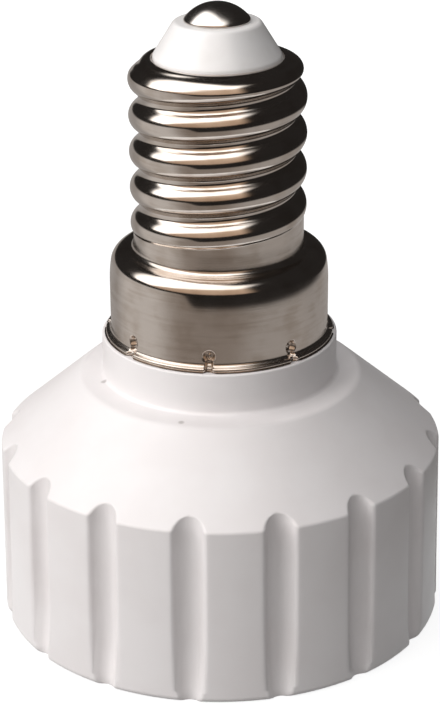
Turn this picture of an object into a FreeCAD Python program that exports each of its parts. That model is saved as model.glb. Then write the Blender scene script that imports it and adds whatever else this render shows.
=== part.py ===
import FreeCAD, Part
import math
import os
import Sketcher

# A lamp socket adapter: a small screw cap above, a twist-lock socket for a two-pin lamp below.
# It stands on the rim of its fluted skirt at height 0 and +Z runs up its axis. Millimetres and degrees.

os.makedirs("parts", exist_ok=True)
document = FreeCAD.newDocument("lamp_socket_adapter")
sheet = document.addObject("Spreadsheet::Sheet", "sizes")


# Sizes, each written once; a text is a formula of other sizes, and its cell is named before it is filled

SIZES = (
    # Moulded housing, outside
    ("skirt_foot_radius", 17.45, "radius of the skirt at the rim it stands on"),
    ("skirt_top_radius", 17.25, "radius where the skirt ends and the cone starts"),
    ("skirt_height", 14.15, "height of the skirt"),
    ("ring_radius", 10.95, "outer radius of the nearly flat ring at the foot of the neck"),
    ("ring_height", "roof_height + roof_thickness", "height of that ring's outer edge"),
    ("ring_rise", 0.2, "rise of the ring towards the neck"),
    ("neck_radius", 9.1, "radius of the neck"),
    ("neck_height", 3.2, "height of the neck above the ring"),
    ("neck_top", "ring_height + ring_rise + neck_height", "height of the face under the screw shell"),
    # Flutes round the skirt
    ("flute_count", 16, "number of flutes"),
    ("flute_first_angle", 14.6, "angle of the first flute from +X"),
    ("flute_radius", 1.15, "radius of a flute's section"),
    ("flute_depth", 1.0, "depth of a flute below the lands"),
    ("flute_foot_step", 0.3, "how much shallower a flute is at the rim"),
    ("flute_foot_height", 0.6, "height of that shallower stretch"),
    # Housing, inside
    ("skirt_wall", 2.95, "thickness of the skirt's wall at the rim"),
    ("well_radius", "skirt_foot_radius - skirt_wall", "radius of the well that takes the lamp's base"),
    ("socket_face_height", 4.6, "height of the socket's face above the rim"),
    ("ledge_width", 0.6, "width of the ledge that the insert sits against"),
    ("cavity_radius", "well_radius - ledge_width", "radius of the cavity above the socket insert"),
    ("wiring_room", 3.15, "room between the insert's cover and the roof"),
    ("insert_top", "socket_face_height + insert_thickness + block_height + cover_thickness", "cover's top"),
    ("roof_height", "insert_top + wiring_room", "height of the roof's underside"),
    ("roof_thickness", 2.65, "thickness of the roof, measured upright"),
    ("roof_margin", 1.0, "how far inside the ring's edge the flat roof ends"),
    ("bore_radius", 6.2, "radius of the wire passage through neck and spigot"),
    ("spigot_room", 2.05, "room between the spigot that carries the screw shell and the shell's shoulder"),
    ("spigot_top", "shoulder_height - spigot_room", "height of the spigot"),
    ("boss_radius", 1.95, "radius of a screw boss"),
    ("boss_sink", 0.1, "how deep a boss is sunk into the cavity's wall"),
    ("boss_place", "cavity_radius + boss_sink - boss_radius", "distance of the screw bosses from the axis"),
    ("boss_clearance", 0.5, "room between a boss and the insert's block"),
    ("boss_length", 8.7, "length of a screw boss"),
    ("pilot_radius", 0.8, "radius of the pilot hole in a boss and of the screw's shank"),
    ("pilot_depth", 6.5, "depth of the pilot hole"),
    ("notch_width", 1.0, "width of the spigot's notch for the neutral conductor"),
    ("notch_foot_room", 0.8, "room in the notch under the conductor's end"),
    ("notch_length", "neutral_loop_drop + neutral_tail_length + notch_foot_room", "length of that notch"),
    ("notch_clearance", 0.1, "room behind the conductor in the notch"),
    ("stake_groove_margin", 0.6, "height above the neck's top of the groove that the stakes grip"),
    ("stake_groove_height", "neck_top + stake_groove_margin", "height of that groove's lower side"),
    ("stake_groove_width", 1.1, "width of that groove"),
    ("stake_groove_depth", 0.45, "depth of that groove"),
    # Screw shell
    ("sheet_thickness", 0.3, "thickness of the shell's sheet metal"),
    ("shell_clearance", 0.05, "clearance of the shell from the moulded parts"),
    ("collar_radius", 8.4, "outer radius of the collar"),
    ("lip_radius", 8.8, "outer radius of the turned-out lip at the collar's foot"),
    ("flare_radius", 0.3, "outer radius of the bend from the collar into the lip"),
    ("collar_height", 6.85, "height of the collar above the neck"),
    ("shoulder_height", "neck_top + collar_height", "height of the collar's shoulder"),
    ("shoulder_rounding", 1.2, "outer radius of the shoulder's bend"),
    ("band_radius", 6.5, "outer radius of the plain band under the thread"),
    ("band_fillet", 0.45, "radius of the bend from the shoulder into the band"),
    ("band_height", 1.15, "height of the plain band above the shoulder"),
    ("band_top", "shoulder_height + band_height", "height at which the plain band ends"),
    ("run_in", 1.6, "height over which the thread grows out of the band"),
    ("run_out", 1.3, "height over which the thread fades under the top lip"),
    ("run_out_margin", 0.4, "plain height between the thread's end and the shell's top"),
    ("run_out_start", "shell_top - run_out_margin - run_out", "height at which the thread starts to fade"),
    ("thread_pitch", 2.822, "pitch of the screw thread"),
    ("first_crest_height", 0.92, "height of the lowest crest above the band's top, on the -X side"),
    ("thread_first_crest", "band_top + first_crest_height", "height of that crest"),
    ("thread_turns", "(shell_top - thread_first_crest) / thread_pitch + 0.5", "turns of the thread's helix"),
    ("crest_radius", 6.7, "radius over the thread's crests"),
    ("crest_width", 0.7, "width of the flat of a crest"),
    ("flank_width", 0.62, "height that one flank takes"),
    ("root_radius", 5.95, "radius at the thread's roots"),
    ("thread_seat", 0.1, "how deep the thread's ridge is sunk into the tube"),
    ("nose_height", 2.7, "height of the insulator's nose above the shell's top"),
    ("shell_top", "nose_top - nose_height", "height of the shell's top"),
    ("top_rounding", 0.85, "radius over which the shell's top is rolled in"),
    ("shell_opening", 4.95, "radius of the opening that the insulator's nose fills"),
    ("stake_count", 8, "number of stakes that hold the shell on the spigot"),
    ("stake_first_angle", -95.4, "angle of the first stake from +X"),
    ("stake_radius", 0.45, "radius of a stake's mark"),
    ("stake_press", 0.35, "how far a stake is pressed in"),
    # Cap insulator and centre contact
    ("nose_clearance", 0.05, "clearance of the insulator's nose in the opening"),
    ("flange_height", 2.4, "height of the insulator's flange inside the shell"),
    ("nose_foot_height", 0.7, "upright foot of the nose, from the flange up"),
    ("contact_height", 1.4, "height of the contact's head above the insulator's top face"),
    ("nose_top", "overall_height - contact_height", "height of the insulator's top face"),
    ("nose_top_radius", 3.35, "radius of that face"),
    ("nose_bevel", 0.3, "bevel round that face"),
    ("insulator_hollow_radius", 3.8, "radius of the hollow under the insulator"),
    ("insulator_hollow_height", 1.6, "height of that hollow"),
    ("contact_radius", 2.5, "radius of the centre contact's head"),
    ("contact_rim", 0.15, "upright rim of that head"),
    ("overall_height", 48.9, "height of the centre contact's crown"),
    ("shank_radius", 1.2, "radius of the contact's hollow shank"),
    ("clinch_radius", 1.9, "radius of the clinched end of the shank"),
    ("clinch_height", 0.4, "height of the clinched end"),
    # Socket insert with its two keyholes
    ("insert_clearance", 0.1, "clearance of the insert in the well"),
    ("insert_thickness", 3.0, "thickness of the insert's face"),
    ("keyhole_place", 5.0, "distance of the pins from the axis"),
    ("entry_radius", 3.0, "radius of a keyhole's entry"),
    ("slot_width", 3.8, "width of a keyhole's curved slot"),
    ("twist_angle", 30.0, "angle that the lamp is turned through"),
    ("block_radius", "boss_place - boss_radius - boss_clearance", "radius of the block behind the face"),
    ("block_height", 5.0, "height of that block"),
    ("chamber_inner_radius", 1.6, "inner radius of a pin chamber"),
    ("chamber_outer_radius", 8.4, "outer radius of a pin chamber"),
    ("chamber_margin", 38.0, "angle that a chamber runs past the keyhole's two ends"),
    ("screw_hole_radius", 1.1, "radius of the insert's two screw holes"),
    ("screw_head_radius", 1.7, "radius of a screw's head"),
    ("screw_head_height", 1.2, "height of a screw's head"),
    ("screw_head_clearance", 0.15, "clearance round a screw's head"),
    ("screw_grip", 5.5, "length of the screw in its boss"),
    ("screw_slot_width", 0.5, "width of the slot in a screw's head"),
    ("screw_slot_depth", 0.6, "depth of that slot"),
    ("cover_thickness", 1.2, "thickness of the cover on the block"),
    # Contact springs, rivets and wires
    ("spring_thickness", 0.4, "thickness of a contact spring"),
    ("spring_width", 3.2, "width of a contact spring"),
    ("spring_tab_place", 4.6, "distance of a spring's tab from the axis"),
    ("spring_tab_height", 1.5, "height of the tab above the cover"),
    ("spring_leg_place", 8.0, "distance of the leg from the axis"),
    ("spring_leg_length", 3.8, "length of the leg below the strip"),
    ("spring_bow", 0.5, "how far the leg is bowed in towards the pin"),
    ("spring_slack", 0.05, "room of the tab in the cover's slot"),
    ("rivet_place", 7.0, "distance of a rivet from the axis"),
    ("rivet_radius", 0.7, "radius of a rivet's shank"),
    ("rivet_head_radius", 1.2, "radius of a rivet's head"),
    ("rivet_head_height", 0.35, "height of a rivet's head"),
    ("wire_radius", 0.9, "radius over a wire's insulation"),
    ("core_radius", 0.4, "radius of a wire's conductor"),
    ("bare_length", 1.7, "length of bare conductor along a spring's tab"),
    ("neutral_loop_drop", 0.15, "how far the loop's centre lies below the spigot's top"),
    ("neutral_bare_length", 1.35, "bare length of the neutral conductor below its loop"),
    ("neutral_bare_height", "spigot_top - neutral_loop_drop - neutral_bare_length", "where its sleeve ends"),
    ("neutral_tail_length", 2.25, "length of the neutral conductor past its loop"),
    ("neutral_end_height", "spigot_top - neutral_loop_drop - neutral_tail_length", "where it ends"),
    ("live_bend_low", 19.0, "height at which the live wire leaves its tab's line"),
    ("live_bend_high", 31.0, "height at which the live wire reaches the axis"),
    ("live_bare_length", 1.1, "bare length of the live conductor below the contact's shank"),
    ("solder_depth", 2.4, "how deep the live conductor sits in the contact's shank"),
)

for row, (name, _, _) in enumerate(SIZES, start=1):
    sheet.set(f"B{row}", "0")
    sheet.setAlias(f"B{row}", name)
document.recompute()
for row, (name, size, meaning) in enumerate(SIZES, start=1):
    sheet.set(f"A{row}", name)
    sheet.set(f"B{row}", f"={size}" if isinstance(size, str) else repr(size))
    sheet.set(f"C{row}", meaning)
document.recompute()


# Values that carry their formula, so that a sketch gets a number and stays tied to the sheet


class Value:
    """A number together with the sheet formula that it comes from."""

    def __init__(self, formula, number):
        self.formula = formula
        self.number = number

    def __add__(self, other):
        other = as_value(other)
        return Value(f"({self.formula} + {other.formula})", self.number + other.number)

    def __radd__(self, other):
        return as_value(other) + self

    def __sub__(self, other):
        other = as_value(other)
        return Value(f"({self.formula} - {other.formula})", self.number - other.number)

    def __rsub__(self, other):
        return as_value(other) - self

    def __mul__(self, other):
        other = as_value(other)
        return Value(f"({self.formula} * {other.formula})", self.number * other.number)

    def __rmul__(self, other):
        return as_value(other) * self

    def __truediv__(self, other):
        other = as_value(other)
        return Value(f"({self.formula} / {other.formula})", self.number / other.number)

    def __neg__(self):
        return as_value(0) - self


def as_value(item):
    """Give a plain number the same form as a sheet value."""
    if isinstance(item, Value):
        return item
    return Value(repr(float(item)), float(item))


def cosine(angle):
    angle = as_value(angle)
    return Value(f"cos({angle.formula})", math.cos(math.radians(angle.number)))


def sine(angle):
    angle = as_value(angle)
    return Value(f"sin({angle.formula})", math.sin(math.radians(angle.number)))


class Sizes:
    """The sheet's sizes by name, each as a value with its formula."""

    def __init__(self):
        for name, _, _ in SIZES:
            setattr(self, name, Value(f"sizes.{name}", float(sheet.get(name))))


s = Sizes()


# Helpers for bodies, sketches and features


def bind(thing, **properties):
    """Set properties of a document object and tie them to the sheet."""
    for name, item in properties.items():
        item = as_value(item)
        path = name.replace("__", ".")
        if path == name:
            setattr(thing, name, item.number)
        thing.setExpression(path, item.formula)


def place(thing, height=0, turn=0, out=0):
    """Stand a sub-part at its height, turned about the axis and moved out from it."""
    height, turn = as_value(height), as_value(turn)
    along, across = out * cosine(turn), out * sine(turn)
    upright = FreeCAD.Rotation(FreeCAD.Vector(0, 0, 1), turn.number)
    base = FreeCAD.Vector(along.number, across.number, height.number)
    thing.Placement = FreeCAD.Placement(base, upright)
    thing.setExpression("Placement.Base.x", along.formula)
    thing.setExpression("Placement.Base.y", across.formula)
    thing.setExpression("Placement.Base.z", height.formula)
    thing.setExpression("Placement.Rotation.Angle", turn.formula)


def new_body(label):
    body = document.addObject("PartDesign::Body", label)
    body.Label = label
    return body


def origin_item(body, role):
    return next(item for item in body.Origin.OriginFeatures if item.Role == role)


def new_sketch(body, name, role="XZ_Plane", turn=0, lift=0):
    """Start a sketch on one of the body's own planes, turned about the axis or lifted off it."""
    sketch = body.newObject("Sketcher::SketchObject", name)
    sketch.AttachmentSupport = (origin_item(body, role), [""])
    sketch.MapMode = "FlatFace"
    turn = as_value(turn)
    lift = as_value(lift)
    if turn.number:
        axis = FreeCAD.Vector(0, 1, 0)
        turned = FreeCAD.Rotation(axis, turn.number)
        sketch.AttachmentOffset = FreeCAD.Placement(FreeCAD.Vector(), turned)
        sketch.setExpression("AttachmentOffset.Rotation.Angle", turn.formula)
    if lift.number:
        sketch.AttachmentOffset = FreeCAD.Placement(FreeCAD.Vector(0, 0, lift.number), FreeCAD.Rotation())
        sketch.setExpression("AttachmentOffset.Base.z", lift.formula)
    return sketch


def constrain(sketch, kind, *where, to):
    """Add one dimension and tie it to the sheet."""
    to = as_value(to)
    index = sketch.addConstraint(Sketcher.Constraint(kind, *where, to.number))
    sketch.setExpression(f"Constraints[{index}]", to.formula)


def arc_centre(start, end, radius, side):
    """Centre of the short arc from start to end; side 1 has it left of the way, -1 right."""
    chord = end - start
    middle = (start + end) * 0.5
    height = math.sqrt(max(radius * radius - chord.Length * chord.Length / 4, 0.0))
    left = FreeCAD.Vector(-chord.y, chord.x, 0).normalize()
    return middle + left * (height * side)


def draw(sketch, *points):
    """Draw a closed outline.

    A point (x, y) ends a straight run. A point (x, y, radius, side) ends an arc of that
    radius, whose centre lies left of the way there for side 1 and right of it for side -1.
    """
    corners = [tuple(as_value(item) for item in point[:2]) for point in points]
    places = [FreeCAD.Vector(x.number, y.number, 0) for x, y in corners]
    ends = []
    for index, point in enumerate(points):
        start, end = places[index - 1], places[index]
        if len(point) == 2:
            edge = sketch.addGeometry(Part.LineSegment(start, end), False)
            ends.append((edge, 1, 2))
            continue
        radius, side = as_value(point[2]), point[3]
        centre = arc_centre(start, end, radius.number, side)
        circle = Part.Circle(centre, FreeCAD.Vector(0, 0, 1), radius.number)
        first, last = (start, end) if side > 0 else (end, start)
        angles = [math.atan2(spot.y - centre.y, spot.x - centre.x) for spot in (first, last)]
        edge = sketch.addGeometry(Part.ArcOfCircle(circle, *angles), False)
        ends.append((edge, 1, 2) if side > 0 else (edge, 2, 1))
        constrain(sketch, "Radius", edge, to=radius)
    for index, (edge, _, last) in enumerate(ends):
        following, first, _ = ends[(index + 1) % len(ends)]
        sketch.addConstraint(Sketcher.Constraint("Coincident", edge, last, following, first))
        constrain(sketch, "DistanceX", edge, last, to=corners[index][0])
        constrain(sketch, "DistanceY", edge, last, to=corners[index][1])


def draw_circle(sketch, x, y, radius):
    x, y, radius = as_value(x), as_value(y), as_value(radius)
    centre = FreeCAD.Vector(x.number, y.number, 0)
    edge = sketch.addGeometry(Part.Circle(centre, FreeCAD.Vector(0, 0, 1), radius.number), False)
    constrain(sketch, "DistanceX", edge, 3, to=x)
    constrain(sketch, "DistanceY", edge, 3, to=y)
    constrain(sketch, "Radius", edge, to=radius)


def polar(radius, angle):
    return radius * cosine(angle), radius * sine(angle)


def bend(x, y, radius, first, last, flats):
    """Points of a bend about a centre, from one angle to another, as a few flats."""
    step = (last - first) / flats
    spots = [polar(radius, first + step * index) for index in range(flats + 1)]
    return [(x + along, y + across) for along, across in spots]


def turn_about_axis(x, y, angle):
    return x * cosine(angle) - y * sine(angle), x * sine(angle) + y * cosine(angle)


def draw_axis(sketch, first, last):
    """Draw a construction line for a sketch to be turned about."""
    places = [FreeCAD.Vector(*(as_value(item).number for item in point), 0) for point in (first, last)]
    line = sketch.addGeometry(Part.LineSegment(*places), True)
    for end, (x, y) in enumerate((first, last), start=1):
        constrain(sketch, "DistanceX", line, end, to=x)
        constrain(sketch, "DistanceY", line, end, to=y)


def draw_sector(sketch, inner, outer, first, last):
    """Draw a piece of a ring between two radii and two angles less than half a turn apart."""
    draw(
        sketch,
        (*polar(inner, first), inner, -1),
        polar(outer, first),
        (*polar(outer, last), outer, 1),
        polar(inner, last),
    )


def turned(body, kind, sketch, name, axis="V_Axis"):
    """Revolve a sketch all the way round, to add (Revolution) or to cut (Groove)."""
    feature = body.newObject(f"PartDesign::{kind}", name)
    feature.Profile = sketch
    feature.ReferenceAxis = (sketch, [axis])
    feature.Angle = 360.0
    sketch.Visibility = False
    document.recompute()
    return feature


def pad(body, sketch, name, length, symmetric=False):
    feature = body.newObject("PartDesign::Pad", name)
    feature.Profile = sketch
    feature.Midplane = symmetric
    bind(feature, Length=length)
    document.recompute()
    return feature


def pocket(body, sketch, name, length, upward=False, symmetric=False):
    """Cut a sketch's outline into the body and check that something was cut."""
    before = body.Shape.Volume
    feature = body.newObject("PartDesign::Pocket", name)
    feature.Profile = sketch
    feature.Reversed = upward
    feature.Midplane = symmetric
    bind(feature, Length=length)
    document.recompute()
    if not feature.Shape.Volume < before:
        raise ValueError(f"{name} cuts nothing")
    return feature


def pattern(body, features, name, count):
    """Repeat features evenly round the axis."""
    feature = body.newObject("PartDesign::PolarPattern", name)
    feature.Originals = features
    feature.Axis = (origin_item(body, "Z_Axis"), [""])
    feature.Angle = 360.0
    feature.Occurrences = int(as_value(count).number)
    feature.setExpression("Occurrences", as_value(count).formula)
    body.Tip = feature
    document.recompute()
    return feature


# Heights, radii and angles that several pieces share

cone_slope = (s.ring_height - s.skirt_height) / (s.skirt_top_radius - s.ring_radius)
ledge_height = s.socket_face_height + s.insert_thickness
cavity_shoulder = s.skirt_height + (s.skirt_top_radius - s.cavity_radius) * cone_slope - s.roof_thickness
collar_bore = s.collar_radius - s.sheet_thickness
spigot_radius = collar_bore - s.shell_clearance
conductor_place = collar_bore - s.core_radius
notch_floor = conductor_place - s.core_radius - s.notch_clearance
block_top = ledge_height + s.block_height
root_bore = s.root_radius - s.sheet_thickness
shell_foot = s.neck_top + s.shell_clearance
flange_top = s.shell_top - s.sheet_thickness
flange_radius = root_bore - s.nose_clearance
flange_foot = flange_top - s.flange_height
nose_radius = s.shell_opening - s.nose_clearance
clinch_top = flange_foot + s.insulator_hollow_height
clinch_foot = clinch_top - s.clinch_height
live_bare_height = clinch_foot - s.live_bare_length
neutral_side = s.twist_angle + 180
screw_side = as_value(90)


# Housing: fluted skirt, cone, neck and spigot, with the well and cavity inside


def make_housing():
    body = new_body("housing")
    outline = new_sketch(body, "housing_outline")
    draw(
        outline,
        (s.well_radius, 0),
        (s.skirt_foot_radius, 0),
        (s.skirt_top_radius, s.skirt_height),
        (s.ring_radius, s.ring_height),
        (s.neck_radius, s.ring_height + s.ring_rise),
        (s.neck_radius, s.neck_top),
        (spigot_radius, s.neck_top),
        (spigot_radius, s.spigot_top),
        (s.bore_radius, s.spigot_top),
        (s.bore_radius, s.roof_height),
        (s.ring_radius - s.roof_margin, s.roof_height),
        (s.cavity_radius, cavity_shoulder),
        (s.cavity_radius, ledge_height),
        (s.well_radius, ledge_height),
    )
    turned(body, "Revolution", outline, "housing_form")

    groove = new_sketch(body, "stake_groove_outline")
    groove_floor = spigot_radius - s.stake_groove_depth
    groove_top = s.stake_groove_height + s.stake_groove_width
    draw(
        groove,
        (groove_floor, s.stake_groove_height),
        (s.neck_radius, s.stake_groove_height),
        (s.neck_radius, groove_top),
        (groove_floor, groove_top),
    )
    turned(body, "Groove", groove, "stake_groove")

    notch = new_sketch(body, "notch_outline", "XY_Plane", lift=s.spigot_top)
    half = s.notch_width / 2
    corners = ((notch_floor, -half), (s.neck_radius, -half), (s.neck_radius, half), (notch_floor, half))
    draw(notch, *(turn_about_axis(x, y, neutral_side) for x, y in corners))
    pocket(body, notch, "conductor_notch", s.notch_length)

    boss = new_sketch(body, "boss_outline", "XY_Plane", lift=ledge_height)
    draw_circle(boss, *polar(s.boss_place, screw_side), s.boss_radius)
    boss_pad = pad(body, boss, "boss", s.boss_length)
    pilot = new_sketch(body, "pilot_outline", "XY_Plane", lift=ledge_height)
    draw_circle(pilot, *polar(s.boss_place, screw_side), s.pilot_radius)
    pilot_cut = pocket(body, pilot, "pilot", s.pilot_depth, upward=True)
    pattern(body, [boss_pad, pilot_cut], "bosses", 2)

    flute = new_sketch(body, "flute_outline", turn=s.flute_first_angle)
    lean = (s.skirt_foot_radius - s.skirt_top_radius) / s.skirt_height
    axis_place = s.skirt_foot_radius + s.flute_radius - s.flute_depth
    foot_radius = s.flute_radius - s.flute_foot_step
    step_top = s.flute_foot_height + s.flute_foot_step
    low, high = as_value(-1), s.ring_height

    def inward(distance, height):
        """A point at a distance inside the flute's leaning axis."""
        return axis_place - lean * height - distance, height

    draw(
        flute,
        inward(0, low),
        inward(foot_radius, low),
        inward(foot_radius, s.flute_foot_height),
        inward(s.flute_radius, step_top),
        inward(s.flute_radius, high),
        inward(0, high),
    )
    draw_axis(flute, inward(0, low), inward(0, high))
    flute_cut = turned(body, "Groove", flute, "flute", axis="Axis0")
    pattern(body, [flute_cut], "flutes", s.flute_count)
    return body


# Screw shell: one piece of sheet metal with lip, collar, shoulder, band, thread and rolled-in top


def make_shell_sheet():
    """The shell without its thread, from its inner and outer contour."""
    body = new_body("shell_sheet")
    outline = new_sketch(body, "shell_outline")
    thick = s.sheet_thickness
    lip_top = shell_foot + thick
    flare_place = s.collar_radius + s.flare_radius
    shoulder_place = s.collar_radius - s.shoulder_rounding
    band_place = s.band_radius + s.band_fillet
    thread_foot = s.band_top + s.run_in / 2
    roll_place = s.root_radius - s.top_rounding
    roll_height = s.shell_top - s.top_rounding
    flare_height = lip_top + s.flare_radius
    shoulder_foot = s.shoulder_height - s.shoulder_rounding
    band_foot = s.shoulder_height + s.band_fillet
    draw(
        outline,
        (s.lip_radius, shell_foot),
        (s.lip_radius, lip_top),
        *bend(flare_place, flare_height, s.flare_radius, 270, 180, 1),
        *bend(shoulder_place, shoulder_foot, s.shoulder_rounding, 0, 90, 2),
        *bend(band_place, band_foot, s.band_fillet, 270, 180, 1),
        (s.band_radius, s.band_top),
        (s.root_radius, thread_foot),
        *bend(roll_place, roll_height, s.top_rounding, 0, 90, 2),
        (s.shell_opening, s.shell_top),
        (s.shell_opening, flange_top),
        *bend(roll_place, roll_height, s.top_rounding - thick, 90, 0, 1),
        (root_bore, thread_foot - thick / 2),
        (s.band_radius - thick, s.band_top - thick / 2),
        *bend(band_place, band_foot, s.band_fillet + thick, 180, 270, 1),
        *bend(shoulder_place, shoulder_foot, s.shoulder_rounding - thick, 90, 0, 1),
        *bend(flare_place, flare_height, s.flare_radius + thick, 180, 270, 1),
    )
    turned(body, "Revolution", outline, "shell_form")

    height = s.stake_groove_height + s.stake_groove_width / 2
    bump_form = stake_prism(body, "stake_bump", collar_bore + thick / 2, collar_bore, height, True)
    mark_cut = stake_prism(body, "stake_mark", s.lip_radius, s.collar_radius, height, False)
    pattern(body, [bump_form, mark_cut], "stakes", s.stake_count)
    return body


def stake_prism(body, name, back, wall, height, added):
    """One side of a stake: a blunt wedge pressed in from the wall, added inside or cut outside."""
    wedge = new_sketch(body, f"{name}_outline", turn=s.stake_first_angle)
    tip = wall - s.stake_press
    half, blunt = s.stake_radius, s.stake_radius / 3
    draw(
        wedge,
        (back, height - half),
        (back, height + half),
        (wall, height + half),
        (tip, height + blunt),
        (tip, height - blunt),
        (wall, height - half),
    )
    if added:
        return pad(body, wedge, name, half * 2, symmetric=True)
    return pocket(body, wedge, name, half * 2, symmetric=True)


def make_thread():
    """The thread's ridge swept up a helix, trimmed to its crests and faded out at both ends."""
    base = s.root_radius - s.thread_seat
    helix = document.addObject("Part::Helix", "thread_helix")
    bind(helix, Pitch=s.thread_pitch, Height=s.thread_pitch * s.thread_turns, Radius=base)
    start = s.thread_first_crest - s.thread_pitch / 2
    place(helix, start)
    ridge = document.addObject("Sketcher::SketchObject", "thread_ridge")
    upright = FreeCAD.Rotation(FreeCAD.Vector(1, 0, 0), 90)
    ridge.Placement = FreeCAD.Placement(FreeCAD.Vector(0, 0, start.number), upright)
    ridge.setExpression("Placement.Base.z", start.formula)
    steepness = s.flank_width / (s.crest_radius - s.root_radius)
    above = s.crest_radius + s.thread_seat
    wide = s.crest_width / 2 + s.flank_width + s.thread_seat * steepness
    narrow = s.crest_width / 2 - s.thread_seat * steepness
    draw(ridge, (base, -wide), (above, -narrow), (above, narrow), (base, wide))
    document.recompute()
    sweep = document.addObject("Part::Sweep", "thread_sweep")
    sweep.Sections = [ridge]
    sweep.Spine = (helix, [])
    sweep.Solid = True
    sweep.Frenet = True

    crest = document.addObject("Part::Cylinder", "crest_cylinder")
    bind(crest, Radius=s.crest_radius, Height=s.shell_top - s.band_top)
    place(crest, s.band_top)
    thread = combine("Common", "crested_thread", sweep, crest)

    inside, outside = s.root_radius - s.sheet_thickness * 3, s.lip_radius
    run_in_top = s.band_top + s.run_in
    run_out_top = s.run_out_start + s.run_out
    run_in = ring_cutter(
        "run_in_cutter",
        (inside, s.band_top - s.thread_pitch),
        (inside, s.band_top),
        (s.root_radius, s.band_top),
        (s.crest_radius, run_in_top),
        (outside, run_in_top),
        (outside, s.band_top - s.thread_pitch),
    )
    thread = combine("Cut", "thread_with_run_in", thread, run_in)
    run_out = ring_cutter(
        "run_out_cutter",
        (inside, run_out_top + s.thread_pitch),
        (inside, run_out_top),
        (s.root_radius, run_out_top),
        (s.crest_radius, s.run_out_start),
        (outside, s.run_out_start),
        (outside, run_out_top + s.thread_pitch),
    )
    return combine("Cut", "thread", thread, run_out)


def ring_cutter(name, *points):
    """A turned ring that stands only as a tool to cut with."""
    body = new_body(name)
    outline = new_sketch(body, f"{name}_outline")
    draw(outline, *points)
    turned(body, "Revolution", outline, f"{name}_form")
    return body


def combine(kind, name, base, tool):
    """A Common, Cut or Fuse of two objects; none may come out empty."""
    result = document.addObject(f"Part::{kind}", name)
    result.Base = base
    result.Tool = tool
    result.Refine = False
    document.recompute()
    if not result.Shape.Solids:
        raise ValueError(f"{name} is empty")
    return result


def make_screw_shell():
    return combine("Fuse", "screw_shell", make_shell_sheet(), make_thread())


# Cap insulator and the centre contact riveted through it


def make_cap_insulator():
    body = new_body("cap_insulator")
    outline = new_sketch(body, "insulator_outline")
    seat_rounding = s.top_rounding - s.sheet_thickness
    nose_foot_top = flange_top + s.nose_foot_height
    draw(
        outline,
        (s.shank_radius, clinch_top),
        (s.insulator_hollow_radius, clinch_top),
        (s.insulator_hollow_radius, flange_foot),
        (flange_radius, flange_foot),
        *bend(flange_radius - seat_rounding, flange_top - seat_rounding, seat_rounding, 0, 90, 1),
        (nose_radius, flange_top),
        (nose_radius, nose_foot_top),
        (s.nose_top_radius + s.nose_bevel / 2, s.nose_top - s.nose_bevel),
        (s.nose_top_radius - s.nose_bevel / 2, s.nose_top),
        (s.shank_radius, s.nose_top),
    )
    turned(body, "Revolution", outline, "insulator_form")
    return body


def make_centre_contact():
    body = new_body("centre_contact")
    outline = new_sketch(body, "contact_outline")
    rim_top = s.nose_top + s.contact_rim
    crown = s.overall_height - rim_top
    crown_radius = (s.contact_radius * s.contact_radius + crown * crown) / (crown * 2)
    bore_top = clinch_foot + s.solder_depth
    draw(
        outline,
        (0, bore_top),
        (s.core_radius, bore_top),
        (s.core_radius, clinch_foot),
        (s.clinch_radius, clinch_foot),
        (s.clinch_radius, clinch_top),
        (s.shank_radius, clinch_top),
        (s.shank_radius, s.nose_top),
        (s.contact_radius, s.nose_top),
        (s.contact_radius, rim_top),
        (0, s.overall_height, crown_radius, 1),
    )
    turned(body, "Revolution", outline, "contact_form")
    return body


# Socket insert: the face with two keyholes, and behind it the block with a chamber for each pin


def make_socket_insert():
    body = new_body("socket_insert")
    face = new_sketch(body, "face_outline", "XY_Plane")
    draw_circle(face, 0, 0, s.well_radius - s.insert_clearance)
    pad(body, face, "face", s.insert_thickness)
    block = new_sketch(body, "block_outline", "XY_Plane", lift=s.insert_thickness)
    draw_circle(block, 0, 0, s.block_radius)
    pad(body, block, "block", s.block_height)

    chamber = new_sketch(body, "chamber_outline", "XY_Plane", lift=s.insert_thickness)
    first, last = -s.chamber_margin, s.twist_angle + s.chamber_margin
    draw_sector(chamber, s.chamber_inner_radius, s.chamber_outer_radius, first, last)
    chamber_cut = pocket(body, chamber, "chamber", s.block_height, upward=True)

    entry = new_sketch(body, "entry_outline", "XY_Plane")
    draw_circle(entry, s.keyhole_place, 0, s.entry_radius)
    entry_cut = pocket(body, entry, "entry", s.insert_thickness, upward=True)
    slot = new_sketch(body, "slot_outline", "XY_Plane")
    half = s.slot_width / 2
    draw_sector(slot, s.keyhole_place - half, s.keyhole_place + half, as_value(0), s.twist_angle)
    slot_cut = pocket(body, slot, "slot", s.insert_thickness, upward=True)
    end = new_sketch(body, "slot_end_outline", "XY_Plane")
    draw_circle(end, *polar(s.keyhole_place, s.twist_angle), half)
    end_cut = pocket(body, end, "slot_end", s.insert_thickness, upward=True)

    hole = new_sketch(body, "screw_hole_outline", "XY_Plane")
    draw_circle(hole, *polar(s.boss_place, screw_side), s.screw_hole_radius)
    hole_cut = pocket(body, hole, "screw_hole", s.insert_thickness, upward=True)
    seat = new_sketch(body, "screw_seat_outline", "XY_Plane")
    seat_radius = s.screw_head_radius + s.screw_head_clearance
    draw_circle(seat, *polar(s.boss_place, screw_side), seat_radius)
    seat_cut = pocket(body, seat, "screw_seat", s.screw_head_height, upward=True)
    pattern(body, [chamber_cut, entry_cut, slot_cut, end_cut, hole_cut, seat_cut], "second_side", 2)
    place(body, s.socket_face_height)
    return body


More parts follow.
